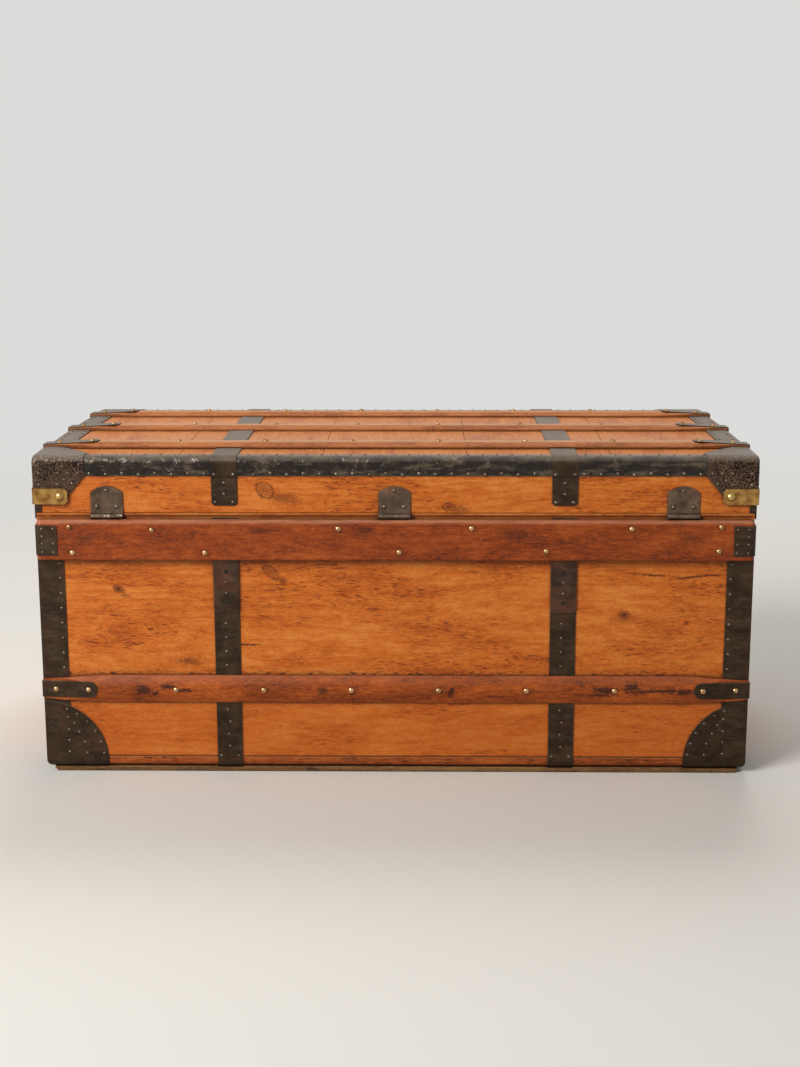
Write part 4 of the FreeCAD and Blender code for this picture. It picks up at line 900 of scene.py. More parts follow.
# Lid slats of the same beech, lighter and polished higher: brown sides, and a dusty tan highlight painted
# along the crowns.
BEECH_LID = Wood("stained beech, lid slats", pale="#BA7440", main="#A8602E", dark="#864519", fleck="#48200C",
                 stain="#44200D", grime_and_shade="#2E160A", wear_and_sheen="#CA9A6C", stain_share=0.25, fleck_share=0.6,
                 painted_sheen_share=0.75, sheen_from=(0.955, 0.99), rub=0.3, ring=4.0, ring_share=0.05,
                 fleck_size=(7.0, 1.1), pith=190.0, pith_level=340.0, gloss=0.15, haze=0.2, roughness=0.44)
# Raw pine under the trunk: never polished, rubbed and soaked on station floors, so dull and dirty.
PINE_RAW = Wood("raw dirty pine", pale="#A07748", main="#7A5632", dark="#523820", fleck="#2A1A0E",
                stain="#2F1E0E", stain_share=0.4, wear_and_sheen="#A27E4C", pith=200.0, pith_level=-60.0, gloss=0.0,
                roughness=0.75)
# The bottom board's edges: stained with the rest, then scuffed and dirtied.
PINE_FLOOR = Wood("scuffed stained pine", pale="#AC5A26", main="#94471A", dark="#6F3210", fleck="#3C1A0A",
                  stain="#43200D", stain_share=0.35, fleck_share=0.8, rub=0.5, pith=200.0, pith_level=-60.0,
                  gloss=0.0, roughness=0.6)
# Sheet iron, browned with oil: dull dark brown, with fine scratches and rubbed edges.
IRON = SheetIron("browned sheet iron")
# Thinner iron of the lapped plates: browner, with soft rust and a satin sheen.
IRON_RUSTED = SheetIron("rusted sheet iron", coat="#433024", rust="#503222", rust_share=0.6, roughness=0.4)
# Hinge leaves, stamped from smoother iron and oiled: grey brown with a broad sheen.
IRON_OILED = SheetIron("oiled stamped iron", coat="#645040", rust="#6A4A37", rust_share=0.35, roughness=0.3,
                       dent=4.5, dent_size=20.0)
# Lid caps, pressed from thin iron whose coat has blistered: brown, with black pits.
IRON_PITTED = SheetIron("pitted pressed iron", coat="#5D4535", rust="#6A4833", rust_share=0.4, pit=2.5,
                        roughness=0.34, dent=2.4, dent_size=13.0)
# Edge bindings, rolled and japanned: brown black with a soft gloss, and grey scuffs on the bend.
IRON_JAPANNED = SheetIron("japanned sheet iron", coat="#1F140B", rust="#2B1B0F", bare="#978468", scuff=0.85,
                          metallic=0.4, roughness=0.32, dent=6.0, dent_size=19.0, dust_and_sheen=0.6)
# Tacks and hinge nails, cut from steel wire: small, rubbed bright, with a little dusty, painted sheen on top.
STEEL_TACK = SheetIron("steel tack heads", coat="#665B51", rust="#5E4738", bare="#A0978A", rust_share=0.4,
                       scuff=0.2, metallic=1.0, roughness=0.34, dust_and_sheen=0.2)
# Empty tack holes: the bottom of a small pit, in shade and full of dirt.
IRON_HOLE = SheetIron("dirt in old tack holes", coat="#0E0B09", rust="#1A120D", bare="#3A322B", scuff=0.1,
                      metallic=0.0, roughness=0.9)
# Handles, forged from round bar and blacked with oil: dark grey, with a dull sheen and rusty patches.
IRON_FORGED = SheetIron("oil-blacked forged iron", coat="#48413A", rust="#56382A", rust_share=0.35, scuff=0.4,
                        metallic=0.85, roughness=0.48, dent=0.4)
# Brass clips and locks, stamped and lacquered once: yellow brown, half tarnished.
BRASS = Brass("aged stamped brass")
# Rivets of the clips, hammered up: rubbed brighter than the clips that they hold.
BRASS_RIVET = Brass("rubbed brass rivets", bright="#CFAD6C", tarnish="#7E5D26", roughness=0.22)
# Brass nails, domed by a die: bright tops from years of rubbing.
BRASS_NAIL = Brass("rubbed brass nails", bright="#D2AA7A", tarnish="#88623E")


# Places on the trunk
@dataclass(frozen=True)
class Spot:
    """A place on a surface.

    Attributes:
        point: The place, in millimetres.
        normal: The way out of the surface.
    """

    point: Vector
    normal: Vector


class Side(Enum):
    """An upright face of the trunk, by its turn about the upright axis."""

    BACK = 0
    RIGHT = 90
    FRONT = 180
    LEFT = 270

    def spot(self, across: float, level: float, out: float, lean: float = 0.0) -> Spot:
        """Give a place on this face.

        Args:
            across: Distance to the right of the face's middle, seen from outside.
            level: Height above the floor.
            out: Distance of the surface from the trunk's upright axis.
            lean: How far the surface falls away to the right, as rise over run.

        Returns:
            The place and the way out of the face.
        """
        turn = Matrix.Rotation(math.radians(self.value), 3, "Z")
        return Spot(turn @ Vector((across, -out, level)), turn @ Vector((lean, -1, 0)).normalized())


LONG_SIDES = (Side.BACK, Side.FRONT)
ENDS = (Side.LEFT, Side.RIGHT)
TOP_BOARD = 9.0  # thickness of the lid's top boards


@dataclass(frozen=True)
class Trunk:
    """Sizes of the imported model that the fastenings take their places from.

    Attributes:
        half_length: Half the case's length.
        half_depth: Half its depth.
        parting: Height of the line between base and lid.
        lid_half: Half the lid's length.
        lid_foot: Height of the lid's lower edge.
        shoulder: Height of the lid's long edges.
        crown: Height of the lid's middle.
        sheet: Thickness of the sheet iron.
    """

    half_length: float
    half_depth: float
    parting: float
    lid_half: float
    lid_foot: float
    shoulder: float
    crown: float
    sheet: float = 1.2

    @classmethod
    def measured(cls) -> Trunk:
        """Read the sizes from the frame's boards.

        Returns:
            The trunk's sizes.
        """
        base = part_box("base_front_board")[1] / MM
        lid_low, lid_high = (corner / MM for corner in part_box("lid_front_board"))
        top_low, top_high = (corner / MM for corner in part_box("lid_top_boards"))
        return cls(half_length=base.x, half_depth=base.y, parting=base.z, lid_half=lid_high.x,
                   lid_foot=lid_low.z, shoulder=top_low.z + TOP_BOARD, crown=top_high.z)

    def out(self, side: Side, layers: float = 0.0, lid: bool = False) -> float:
        """Give how far a face lies from the middle.

        Args:
            side: The face.
            layers: Thickness of what lies on the boards there.
            lid: Whether the place is on the lid.

        Returns:
            The distance in millimetres.
        """
        end = self.lid_half if lid else self.half_length
        return (self.half_depth if side in LONG_SIDES else end) + layers

    def half(self, side: Side, lid: bool = False) -> float:
        """Give half a face's width, with the same arguments as out."""
        end = self.lid_half if lid else self.half_length
        return end if side in LONG_SIDES else self.half_depth

    def top_spot(self, along: float, depth: float, layers: float) -> Spot:
        """Give a place on the cambered top.

        Args:
            along: Distance from the middle along the trunk.
            depth: Distance from the middle towards the lock side.
            layers: Thickness of what lies on the top boards there.

        Returns:
            The place and the way out of the top.
        """
        rise = self.crown - self.shoulder
        radius = (self.half_depth ** 2 + rise ** 2) / (2 * rise)
        middle = self.crown - radius
        normal = Vector((0, depth, math.sqrt(radius ** 2 - depth ** 2))).normalized()
        return Spot(Vector((along, 0, middle)) + normal * (radius + layers), normal)


# Fastenings
DOME_TURNS = (0.25, 0.62, 1.02, 1.36)  # turns up a dome at which it has a ring of points, in radians
RIM_SHARE = 0.16  # height of a head's upright rim, as a share of its height
DOME_FOOT = 0.12  # height at which its dome starts
BURR = ((1.5, 0.0), (1.25, 0.8), (1.0, 1.0), (0.85, 0.5))  # a burr's outline, as shares of radius and height
TILT = 0.06  # how far a head may lean
SMALLEST, LARGEST = 0.94, 1.06  # how far a head's size may differ
SUNK = 0.1  # how deep a head sits in its surface


@dataclass(frozen=True)
class Head:
    """The head of a nail, tack or rivet, turned from a profile.

    Attributes:
        finish: Its material.
        slot: The record's slot that the finish belongs to; not used.
        radius: Radius of the head.
        height: Height of the dome.
        segments: Facets round the head.
    """

    finish: Finish
    slot: str
    radius: float
    height: float
    segments: int = 12

    def profile(self) -> list[tuple[float, float]]:
        """Give the head's outline.

        Returns:
            Radius and height of each ring of points, from the rim to the top.
        """
        rim = [(self.radius, 0.0), (self.radius, RIM_SHARE * self.height)]
        dome = [(math.cos(turn), math.sin(turn)) for turn in DOME_TURNS]
        return rim + [(self.radius * out, self.height * (DOME_FOOT + (1 - DOME_FOOT) * up))
                      for out, up in dome]

    def drive(self, name: str, spots: Iterable[Spot], body: str, chance: random.Random) -> bpy.types.Object:
        """Drive in a row of heads, each a little out of true.

        Args:
            name: Name of the new piece.
            spots: Where the heads sit.
            body: The body that they move with.
            chance: Source of the small differences.

        Returns:
            One mesh of all the heads.
        """
        mesh = bmesh.new()
        count = 0
        for spot in spots:
            self.turn_head(mesh, spot, chance)
            count += 1
        data = bpy.data.meshes.new(name)
        mesh.to_mesh(data)
        mesh.free()
        data.shade_smooth()
        data.materials.append(self.finish.material())
        piece = bpy.data.objects.new(name, data)
        bpy.context.scene.collection.objects.link(piece)
        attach(piece, body)
        LOG.info("%s: %d heads on %s", name, count, body)
        return piece

    def turn_head(self, mesh: bmesh.types.BMesh, spot: Spot, chance: random.Random) -> None:
        """Add one head to a mesh.

        Args:
            mesh: The mesh that grows.
            spot: Where the head sits.
            chance: Source of the small differences.
        """
        lean = Vector((chance.uniform(-1, 1), chance.uniform(-1, 1), chance.uniform(-1, 1))) * TILT
        up = (spot.normal + lean).normalized()
        turn = up.to_track_quat("Z", "Y").to_matrix()
        size = chance.uniform(SMALLEST, LARGEST)
        rings = []
        for out, rise in self.profile():
            ring = []
            for step in range(self.segments):
                angle = 2 * math.pi * step / self.segments
                offset = turn @ Vector((out * math.cos(angle), out * math.sin(angle), rise - SUNK))
                ring.append(mesh.verts.new((spot.point + offset * size) * MM))
            rings.append(ring)
        for low, high in zip(rings, rings[1:]):
            for step in range(self.segments):
                after = (step + 1) % self.segments
                mesh.faces.new((low[step], low[after], high[after], high[step]))
        top = self.profile()[-1][1]
        tip = mesh.verts.new((spot.point + turn @ Vector((0, 0, top - SUNK)) * size) * MM)
        for step in range(self.segments):
            mesh.faces.new((rings[-1][step], rings[-1][(step + 1) % self.segments], tip))


@dataclass(frozen=True)
class TackHole(Head):
    """A hole that a tack has left: a burr round a dark pit."""

    def profile(self) -> list[tuple[float, float]]:
        """Give the burr's outline from outside to inside, as radius and height."""
        return [(self.radius * out, self.height * up) for out, up in BURR]


TACK = Head(STEEL_TACK, "sheet_iron", radius=2.0, height=1.3, segments=10)
SMALL_TACK = Head(STEEL_TACK, "sheet_iron", radius=1.7, height=1.1, segments=8)
BINDING_TACK = Head(STEEL_TACK, "sheet_iron", radius=2.5, height=1.7)
HINGE_NAIL = Head(STEEL_TACK, "sheet_iron", radius=2.9, height=2.0)
BRASS_HEAD = Head(BRASS_NAIL, "brass", radius=3.6, height=2.6, segments=16)
LOCK_NAIL = Head(BRASS_NAIL, "brass", radius=2.4, height=1.5)
EMPTY_HOLE = TackHole(IRON_HOLE, "sheet_iron", radius=1.8, height=0.35, segments=10)
PLATE_RIVET = Head(IRON_FORGED, "forged_iron", radius=4.4, height=2.6, segments=16)


def evenly(start: float, end: float, pitch: float) -> list[float]:
    """Give places from start to end, both used, about a pitch apart."""
    gaps = max(1, round(abs(end - start) / pitch))
    return [start + (end - start) * step / gaps for step in range(gaps + 1)]


def off_line(place: float) -> float:
    """Give a tack's small drift off its line, up to 1.5 mm and the same at every run."""
    return 1.5 * math.sin(place * 1.7)


def dress(frame: dict, finish: Finish, *nodes: str) -> None:
    """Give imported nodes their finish.

    Args:
        frame: The loaded frame.
        finish: The finish.
        nodes: The nodes' names.
    """
    for name in nodes:
        data = frame["nodes"][name].data
        data.materials.clear()
        data.materials.append(finish.material())
        LOG.info("%s: %s", name, finish.name)


# Sub-assemblies
@dataclass(frozen=True)
class Case:
    """The wooden box of the base, on its bottom board and skids.

    Attributes:
        long_walls: The nodes of its back and front.
        end_walls: The nodes of its ends.
        skids: The nodes that it stands on.
    """

    long_walls: tuple[str, ...] = ("base_back_board", "base_front_board")
    end_walls: tuple[str, ...] = ("base_left_end_board", "base_right_end_board")
    skids: tuple[str, ...] = ("back_skid", "front_skid")

    def dress(self, frame: dict) -> None:
        """Shellac the walls and leave the underside raw.

        Args:
            frame: The loaded frame.
        """
        dress(frame, PINE, *self.long_walls)
        dress(frame, PINE_END, *self.end_walls)
        dress(frame, PINE_FLOOR, "bottom_board")
        dress(frame, PINE_RAW, *self.skids)


@dataclass(frozen=True)
class Battens:
    """The upper rails and the lower slats, with their nails.

    Attributes:
        trunk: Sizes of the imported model.
        rail_proud: Thickness of a rail.
        slat_height: Thickness of a lower slat at its crown.
        lid_slat_height: Thickness of a lid slat at its crown.
        slat_tip: Thickness of a slat at its tips.
        slat_taper: Length over which a slat thins.
        slat_level: Height of the lower slat's middle.
        upper_row: Places and heights of the rail's upper nails.
        lower_row: Places and heights of the rail's lower nails.
        slat_row: Places of a slat's nails to one side of its middle.
        clamp_row: Places of the nails through a slat's end clamp.
        clamp: Thickness of a clamp with its seat.
        plate_columns: For each column of tacks in an end plate, its distance from the end and its heights.
        lock_half: Half the width that the lock keeps clear of nails.
        catch_place: Distance of a catch from the middle.
        catch_half: Half the width that a catch keeps clear of nails.
    """

    trunk: Trunk
    rail_proud: float = 13.0
    slat_height: float = 9.0
    lid_slat_height: float = 7.5
    slat_tip: float = 3.2
    slat_taper: float = 75.0
    slat_level: float = 112.5
    upper_row: tuple[tuple[float, float], ...] = (
        (-406, 325), (-303, 321.5), (-70, 323), (96, 324), (295, 323.5), (406, 326))
    lower_row: tuple[tuple[float, float], ...] = (
        (-403, 292.5), (-237, 292.5), (6, 293.5), (189, 295), (404, 295))
    slat_row: tuple[float, ...] = (55.5, 167, 279)
    clamp_row: tuple[float, ...] = (391, 433)
    clamp: float = 1.25
    plate_columns: tuple[tuple[float, tuple[float, ...]], ...] = (
        (10.0, (323.0, 313.5, 304.0, 293.0)), (24.0, (323.0, 304.0, 293.0)))
    lock_half: float = 45.0
    catch_place: float = 330.0
    catch_half: float = 34.0

    def dress(self, frame: dict) -> None:
        """Stain the rails dark and the slats lighter, and brown their iron.

        Args:
            frame: The loaded frame.
        """
        rails = [name for name in frame["nodes"] if "upper_rail" in name]
        dress(frame, BEECH_RAIL, *rails)
        dress(frame, BEECH_SLAT, "back_lower_slat", "front_lower_slat")
        dress(frame, IRON, "slat_end_clamps", "rail_end_plates")

    def slat_spots(self, height: float, end: float) -> list[tuple[float, float, float]]:
        """Give the nails of one slat.

        Args:
            height: Thickness of the slat at its crown.
            end: Half its length.

        Returns:
            Each nail's place along the slat, its height above the slat's foot, and the surface's fall to the
            right.
        """
        spots = []
        fall = (height - self.slat_tip) / self.slat_taper
        for hand in HANDS:
            spots += [(hand * place, height, 0.0) for place in self.slat_row]
            spots += [(hand * place, self.slat_tip + fall * (end - place) + self.clamp, hand * fall)
                      for place in self.clamp_row]
        return spots

    def build(self, chance: random.Random) -> None:
        """Drive the brass nails and the tacks of the end plates.

        Args:
            chance: Source of the small differences.
        """
        for side in LONG_SIDES:
            face = self.trunk.out(side)
            rows = self.upper_row + self.lower_row
            if side is Side.FRONT:
                rows = tuple((place, level) for place, level in rows if self.clear_of_locks(place))
            spots = [side.spot(place, level, face + self.rail_proud) for place, level in rows]
            spots += [side.spot(place, self.slat_level, face + height, fall) for place, height, fall
                      in self.slat_spots(self.slat_height, self.trunk.half_length + self.trunk.sheet)]
            BRASS_HEAD.drive(f"{side.name.lower()}_batten_nails", spots, "base", chance)
        self.tack_plates(chance)

    def clear_of_locks(self, place: float) -> bool:
        """Say whether a rail nail on the lock side misses the lock and the catches."""
        return abs(place) > self.lock_half and abs(abs(place) - self.catch_place) > self.catch_half

    def tack_plates(self, chance: random.Random) -> None:
        """Tack down the plates over the rails' ends.

        Args:
            chance: Source of the small differences.
        """
        spots = []
        edge = self.trunk.half_length + self.trunk.sheet
        for side in LONG_SIDES:
            out = self.trunk.out(side) + self.rail_proud + self.trunk.sheet
            for hand in HANDS:
                spots += [side.spot(hand * (edge - inset), level, out) for inset, levels in self.plate_columns
                          for level in levels]
        SMALL_TACK.drive("rail_plate_tacks", spots, "base", chance)


@dataclass(frozen=True)
class BaseIron:
    """Bands, straps and corner caps of the base, with their tacks.

    Attributes:
        trunk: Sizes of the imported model.
        floor: Height of the case's underside.
        band_leg: Width of a corner band's leg.
        band_pitch: Distance between its tacks.
        band_inset: Distance of its tacks from its inner edge.
        band_clear: Distance of its last tacks from the cap below and the rail above.
        end_top: Distance of its highest tack from the parting line on the ends.
        strap_place: Distance of a strap from the middle.
        strap_pitch: Distance between its tacks.
        strap_pair: Distance from its middle, and height above its foot, of the two tacks at its foot.
        strap_row: Height above its foot of the lowest tack in its middle.
        strap_clear: Distance of its tacks from the slat above and below them.
        lap_level: Height of the lapped plates' lower edge.
        lap_clear: Distance of the strap's highest tack from that edge.
        lap_tacks: Heights of a lapped plate's tacks.
        lap_holes: Heights of its empty holes.
        cap_radius: Radius of a corner cap.
        cap_level: Height of the middle of its arc.
        cap_inset: Distance of its tacks from its arc.
        cap_arc: Turns of the tacks along the arc, in degrees.
        cap_scatter: Distance and turn of the tacks within it.
        cap_column: Place and heights of the tacks near its upright edge.
        slat_gap: Heights between which the slat hides the iron.
        rail_foot: Height of the rail's lower edge.
    """

    trunk: Trunk
    floor: float = 7.0
    band_leg: float = 33.0
    band_pitch: float = 18.7
    band_inset: float = 5.0
    band_clear: float = 6.0
    end_top: float = 16.0
    strap_place: float = 212.5
    strap_pitch: float = 17.5
    strap_pair: tuple[float, float] = (11.0, 15.0)
    strap_row: float = 28.0
    strap_clear: tuple[float, float] = (11.0, 9.0)
    lap_level: float = 213.0
    lap_clear: float = 14.5
    lap_tacks: tuple[float, ...] = (252.0, 238.0)
    lap_holes: tuple[float, ...] = (266.0, 226.0)
    cap_radius: float = 79.0
    cap_level: float = 15.5
    cap_inset: float = 5.0
    cap_arc: tuple[float, ...] = (7.4, 19.3, 31.4, 44.2, 57.0, 67.8)
    cap_scatter: tuple[tuple[float, float], ...] = ((52.9, 10.4), (55.2, 26.3), (57.0, 41.7), (61.4, 53.7))
    cap_column: tuple[float, tuple[float, ...]] = (29.0, (26.5, 42.0, 56.6, 73.0))
    slat_gap: tuple[float, float] = (93.0, 132.0)
    rail_foot: float = 282.5

    def dress(self, frame: dict) -> None:
        """Brown the iron, and rust the lapped plates.

        Args:
            frame: The loaded frame.
        """
        names = [name for name in frame["nodes"] if name.startswith(("corner_band", "base_corner_cap"))]
        dress(frame, IRON, *names)
        dress(frame, IRON, "back_straps", "front_straps")
        dress(frame, IRON_RUSTED, "strap_top_plates")

    def build(self, chance: random.Random) -> None:
        """Drive the tacks of the bands, the straps and the caps.

        Args:
            chance: Source of the small differences.
        """
        TACK.drive("corner_band_tacks", self.band_spots(), "base", chance)
        TACK.drive("strap_tacks", self.strap_spots(), "base", chance)
        EMPTY_HOLE.drive("empty_strap_holes", self.hole_spots(), "base", chance)
        TACK.drive("corner_cap_tacks", self.cap_spots(), "base", chance)

    def band_spots(self) -> list[Spot]:
        """Give a row of tacks along the inner edge of each band's leg.

        Returns:
            The tacks' places.
        """
        spots = []
        foot = self.cap_level + self.cap_radius + self.band_clear
        low, high = self.slat_gap
        for side in Side:
            long_side = side in LONG_SIDES
            out = self.trunk.out(side, self.trunk.sheet)
            place = self.trunk.half(side) - self.band_leg + self.trunk.sheet + self.band_inset
            top = self.rail_foot - self.band_clear if long_side else self.trunk.parting - self.end_top
            levels = [level for level in evenly(top, foot, self.band_pitch)
                      if not (long_side and low < level < high)]
            spots += [side.spot(hand * place, level, out) for level in levels for hand in HANDS]
        return spots

    def strap_spots(self) -> list[Spot]:
        """Give the tacks down the middle of each strap, and the pair at its foot.

        Returns:
            The tacks' places.
        """
        spots = []
        low, high = self.slat_gap
        above, below = self.strap_clear
        aside, rise = self.strap_pair
        rows = ((self.lap_level - self.lap_clear, high + above), (low - below, self.floor + self.strap_row))
        for side in LONG_SIDES:
            out = self.trunk.out(side, self.trunk.sheet)
            lapped = out + self.trunk.sheet
            for hand in HANDS:
                middle = hand * self.strap_place
                spots += [side.spot(middle, level, lapped) for level in self.lap_tacks]
                spots += [side.spot(middle + off_line(level), level, out) for start, end in rows
                          for level in evenly(start, end, self.strap_pitch)]
                spots += [side.spot(middle + way * aside, self.floor + rise, out) for way in HANDS]
        return spots

    def hole_spots(self) -> list[Spot]:
        """Give the holes that older tacks have left in the lapped plates.

        Returns:
            The holes' places.
        """
        out = self.trunk.out(Side.BACK, 2 * self.trunk.sheet)
        return [side.spot(hand * self.strap_place, level, out) for side in LONG_SIDES for hand in HANDS
                for level in self.lap_holes]

    def cap_spots(self) -> list[Spot]:
        """Give the arc, the scattered tacks and the column of each corner cap.

        Returns:
            The tacks' places.
        """
        spots = []
        places = [(self.cap_radius - self.cap_inset, turn) for turn in self.cap_arc]
        places += self.cap_scatter
        spread = [(reach * math.cos(math.radians(turn)),
                   self.cap_level + reach * math.sin(math.radians(turn))) for reach, turn in places]
        column, levels = self.cap_column
        spread += [(column, level) for level in levels]
        for side in Side:
            out = self.trunk.out(side, self.trunk.sheet)
            corner = self.trunk.half(side)
            for hand in HANDS:
                spots += [side.spot(hand * (corner - inset), level, out) for inset, level in spread]
        return spots


@dataclass(frozen=True)
class Lid:
    """The lid's boards, slats, bindings, caps and clips, with their fastenings.

    Attributes:
        trunk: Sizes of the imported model.
        battens: The battens whose slats the lid shares.
        slat_place: Distance of the outer slats from the middle.
        slat_clear: Half the width that a slat keeps clear of tacks.
        binding_drop: Depth of a binding on the long sides.
        binding_flange: Its width on top.
        binding_inset: Distance of its tacks from its edges.
        binding_pitch: Distance between its tacks on the side.
        binding_end: Distance of the last of them from the lid's end.
        flange_pitch: Distance between the tacks on top.
        flange_end: Distance of the last of them from the lid's end.
        strap_clear: Half the width that a strap keeps clear of tacks, on the side and on top.
        end_band: Width of the end bands on top.
        end_insets: Distance of their tacks on top from their inner and outer edge, and on the ends from
            their lower edge.
        end_clear: Distance of the end bands' last tacks from the lid's long sides.
        end_pitches: Distance between their tacks, on top and on the ends.
        lip_row: Height of the lips' tacks above the lid's foot, the last one's place, and their distance.
        strap_place: Distance of a strap from the middle.
        strap_foot: Height of a strap's lower end above the lid's foot.
        strap_levels: Heights of the tacks in a strap's middle.
        strap_pairs: Distance from its middle of the pair of tacks at the binding, and of that at the foot.
        pair_level: Height of the pair at the binding.
        foot_inset: Distance of the lower pair from the strap's end.
        cap_spread: Distance from the corner and height of a cap's tacks.
        seat: Play between two layers of iron.
    """

    trunk: Trunk
    battens: Battens
    slat_place: float = 149.0
    slat_clear: float = 26.0
    binding_drop: float = 23.2
    binding_flange: float = 14.0
    binding_inset: float = 2.5
    binding_pitch: float = 20.5
    binding_end: float = 70.0
    flange_pitch: float = 18.3
    flange_end: float = 66.0
    strap_clear: tuple[float, float] = (24.0, 21.0)
    end_band: float = 30.0
    end_insets: tuple[float, float, float] = (4.0, 8.0, 3.0)
    end_clear: float = 66.0
    end_pitches: tuple[float, float] = (21.0, 20.5)
    lip_row: tuple[float, float, float] = (5.0, 205.0, 41.0)
    strap_place: float = 212.5
    strap_foot: float = 9.0
    strap_levels: tuple[float, ...] = (379.0, 365.0)
    strap_pairs: tuple[float, float] = (12.0, 11.0)
    pair_level: float = 390.0
    foot_inset: float = 4.0
    cap_spread: tuple[tuple[float, float], ...] = (
        (7.0, 391.5), (31.0, 391.5), (43.5, 391.5), (56.0, 391.5), (39.0, 383.0), (7.0, 377.0), (30.5, 377.3),
        (48.5, 378.5))
    seat: float = 0.05

    def dress(self, frame: dict) -> None:
        """Finish the lid's boards, slats, iron and brass.

        Args:
            frame: The loaded frame.
        """
        dress(frame, PINE, "lid_back_board", "lid_front_board")
        dress(frame, PINE_END, "lid_left_end_board", "lid_right_end_board")
        dress(frame, PINE_TOP, "lid_top_boards")
        dress(frame, BEECH_LID, "lid_back_slat", "lid_middle_slat", "lid_front_slat")
        dress(frame, IRON, "lid_slat_clamps", "lid_end_bands", "lid_end_lips", "lid_straps")
        dress(frame, IRON_JAPANNED, "lid_back_binding", "lid_front_binding")
        dress(frame, IRON_PITTED, "lid_corner_caps")
        dress(frame, BRASS, "brass_corner_clips")
        dress(frame, BRASS_RIVET, "clip_rivets")

    def build(self, chance: random.Random) -> None:
        """Drive the lid's nails and tacks.

        Args:
            chance: Source of the small differences.
        """
        BRASS_HEAD.drive("lid_slat_nails", self.slat_spots(), "lid", chance)
        BINDING_TACK.drive("binding_tacks", self.binding_spots(), "lid", chance)
        SMALL_TACK.drive("binding_top_tacks", self.flange_spots(), "lid", chance)
        BINDING_TACK.drive("lid_strap_tacks", self.strap_spots(), "lid", chance)
        SMALL_TACK.drive("end_band_tacks", self.end_spots(), "lid", chance)
        TACK.drive("lid_cap_tacks", self.cap_spots(), "lid", chance)

    def slat_spots(self) -> list[Spot]:
        """Give the nails along the three slats.

        Returns:
            The nails' places.
        """
        spots = []
        thick = self.battens.lid_slat_height
        nails = self.battens.slat_spots(thick, self.trunk.lid_half + self.trunk.sheet)
        for name, depth in (("lid_back_slat", -self.slat_place), ("lid_middle_slat", 0.0),
                            ("lid_front_slat", self.slat_place)):
            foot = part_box(name)[1].z / MM - thick
            spots += [Spot(Vector((place, depth, foot + height)), Vector((fall, 0, 1)).normalized())
                      for place, height, fall in nails]
        return spots

    def clear_row(self, end: float, pitch: float, clear: float) -> list[float]:
        """Give the places of a row of tacks along the lid that leaves the straps out.

        Args:
            end: Distance of the last tack from the lid's end.
            pitch: Distance between the tacks.
            clear: Half the width that a strap keeps clear.

        Returns:
            The places, from left to right.
        """
        reach = self.trunk.lid_half - end
        return [place for place in evenly(-reach, reach, pitch) if abs(abs(place) - self.strap_place) > clear]

    def binding_spots(self) -> list[Spot]:
        """Give the row of tacks along each binding's lower edge.

        Returns:
            The tacks' places.
        """
        spots = []
        waver = 0.6
        level = self.trunk.shoulder - self.binding_drop + self.binding_inset
        row = self.clear_row(self.binding_end, self.binding_pitch, self.strap_clear[0])
        for side in LONG_SIDES:
            out = self.trunk.out(side, self.trunk.sheet, lid=True)
            spots += [side.spot(place, level + waver * off_line(place), out) for place in row]
        return spots

    def flange_spots(self) -> list[Spot]:
        """Give the row of small tacks along each binding's edge on top.

        Returns:
            The tacks' places.
        """
        depth = self.trunk.half_depth - self.binding_flange + self.binding_inset
        layers = self.trunk.sheet + 2 * self.seat
        return [self.trunk.top_spot(place, hand * depth, layers)
                for place in self.clear_row(self.flange_end, self.flange_pitch, self.strap_clear[1])
                for hand in HANDS]

    def strap_spots(self) -> list[Spot]:
        """Give the six tacks at each end of a strap.

        Returns:
            The tacks' places.
        """
        spots = []
        sheet = self.trunk.sheet
        foot = self.trunk.lid_foot + self.strap_foot + self.foot_inset
        upper, lower = self.strap_pairs
        for side in LONG_SIDES:
            board = self.trunk.out(side, sheet + self.seat, lid=True)
            for hand in HANDS:
                middle = hand * self.strap_place
                spots += [side.spot(middle + way * upper, self.pair_level, board + sheet) for way in HANDS]
                spots += [side.spot(middle, level, board) for level in self.strap_levels]
                spots += [side.spot(middle + way * lower, foot, board) for way in HANDS]
        return spots

    def end_spots(self) -> list[Spot]:
        """Give the tacks on the lid's end bands, on top and on the ends, and on the lips.

        Returns:
            The tacks' places.
        """
        spots = []
        layers = self.trunk.sheet + self.seat
        inner, outer, lower = self.end_insets
        columns = (self.trunk.lid_half - self.end_band + inner, self.trunk.lid_half - outer)
        level = self.trunk.shoulder - self.binding_drop + lower
        reach = self.trunk.half_depth - self.end_clear
        top_pitch, end_pitch = self.end_pitches
        for depth in evenly(-reach, reach, top_pitch):
            if all(abs(depth - slat) > self.slat_clear for slat in (-self.slat_place, 0.0, self.slat_place)):
                spots += [self.trunk.top_spot(hand * place, depth, layers) for hand in HANDS
                          for place in columns]
        lip_rise, lip_reach, lip_pitch = self.lip_row
        for end in ENDS:
            out = self.trunk.out(end, self.trunk.sheet, lid=True)
            spots += [end.spot(place, level, out) for place in evenly(-reach, reach, end_pitch)]
            spots += [end.spot(place, self.trunk.lid_foot + lip_rise, out)
                      for place in evenly(-lip_reach, lip_reach, lip_pitch)]
        return spots

    def cap_spots(self) -> list[Spot]:
        """Give the scattered tacks of each corner cap, on its long side and its end.

        Returns:
            The tacks' places.
        """
        spots = []
        layers = 2 * (self.trunk.sheet + self.seat)
        for side in Side:
            out = self.trunk.out(side, layers, lid=True)
            corner = self.trunk.half(side, lid=True)
            spots += [side.spot(hand * (corner - inset), level, out) for hand in HANDS
                      for inset, level in self.cap_spread]
        return spots


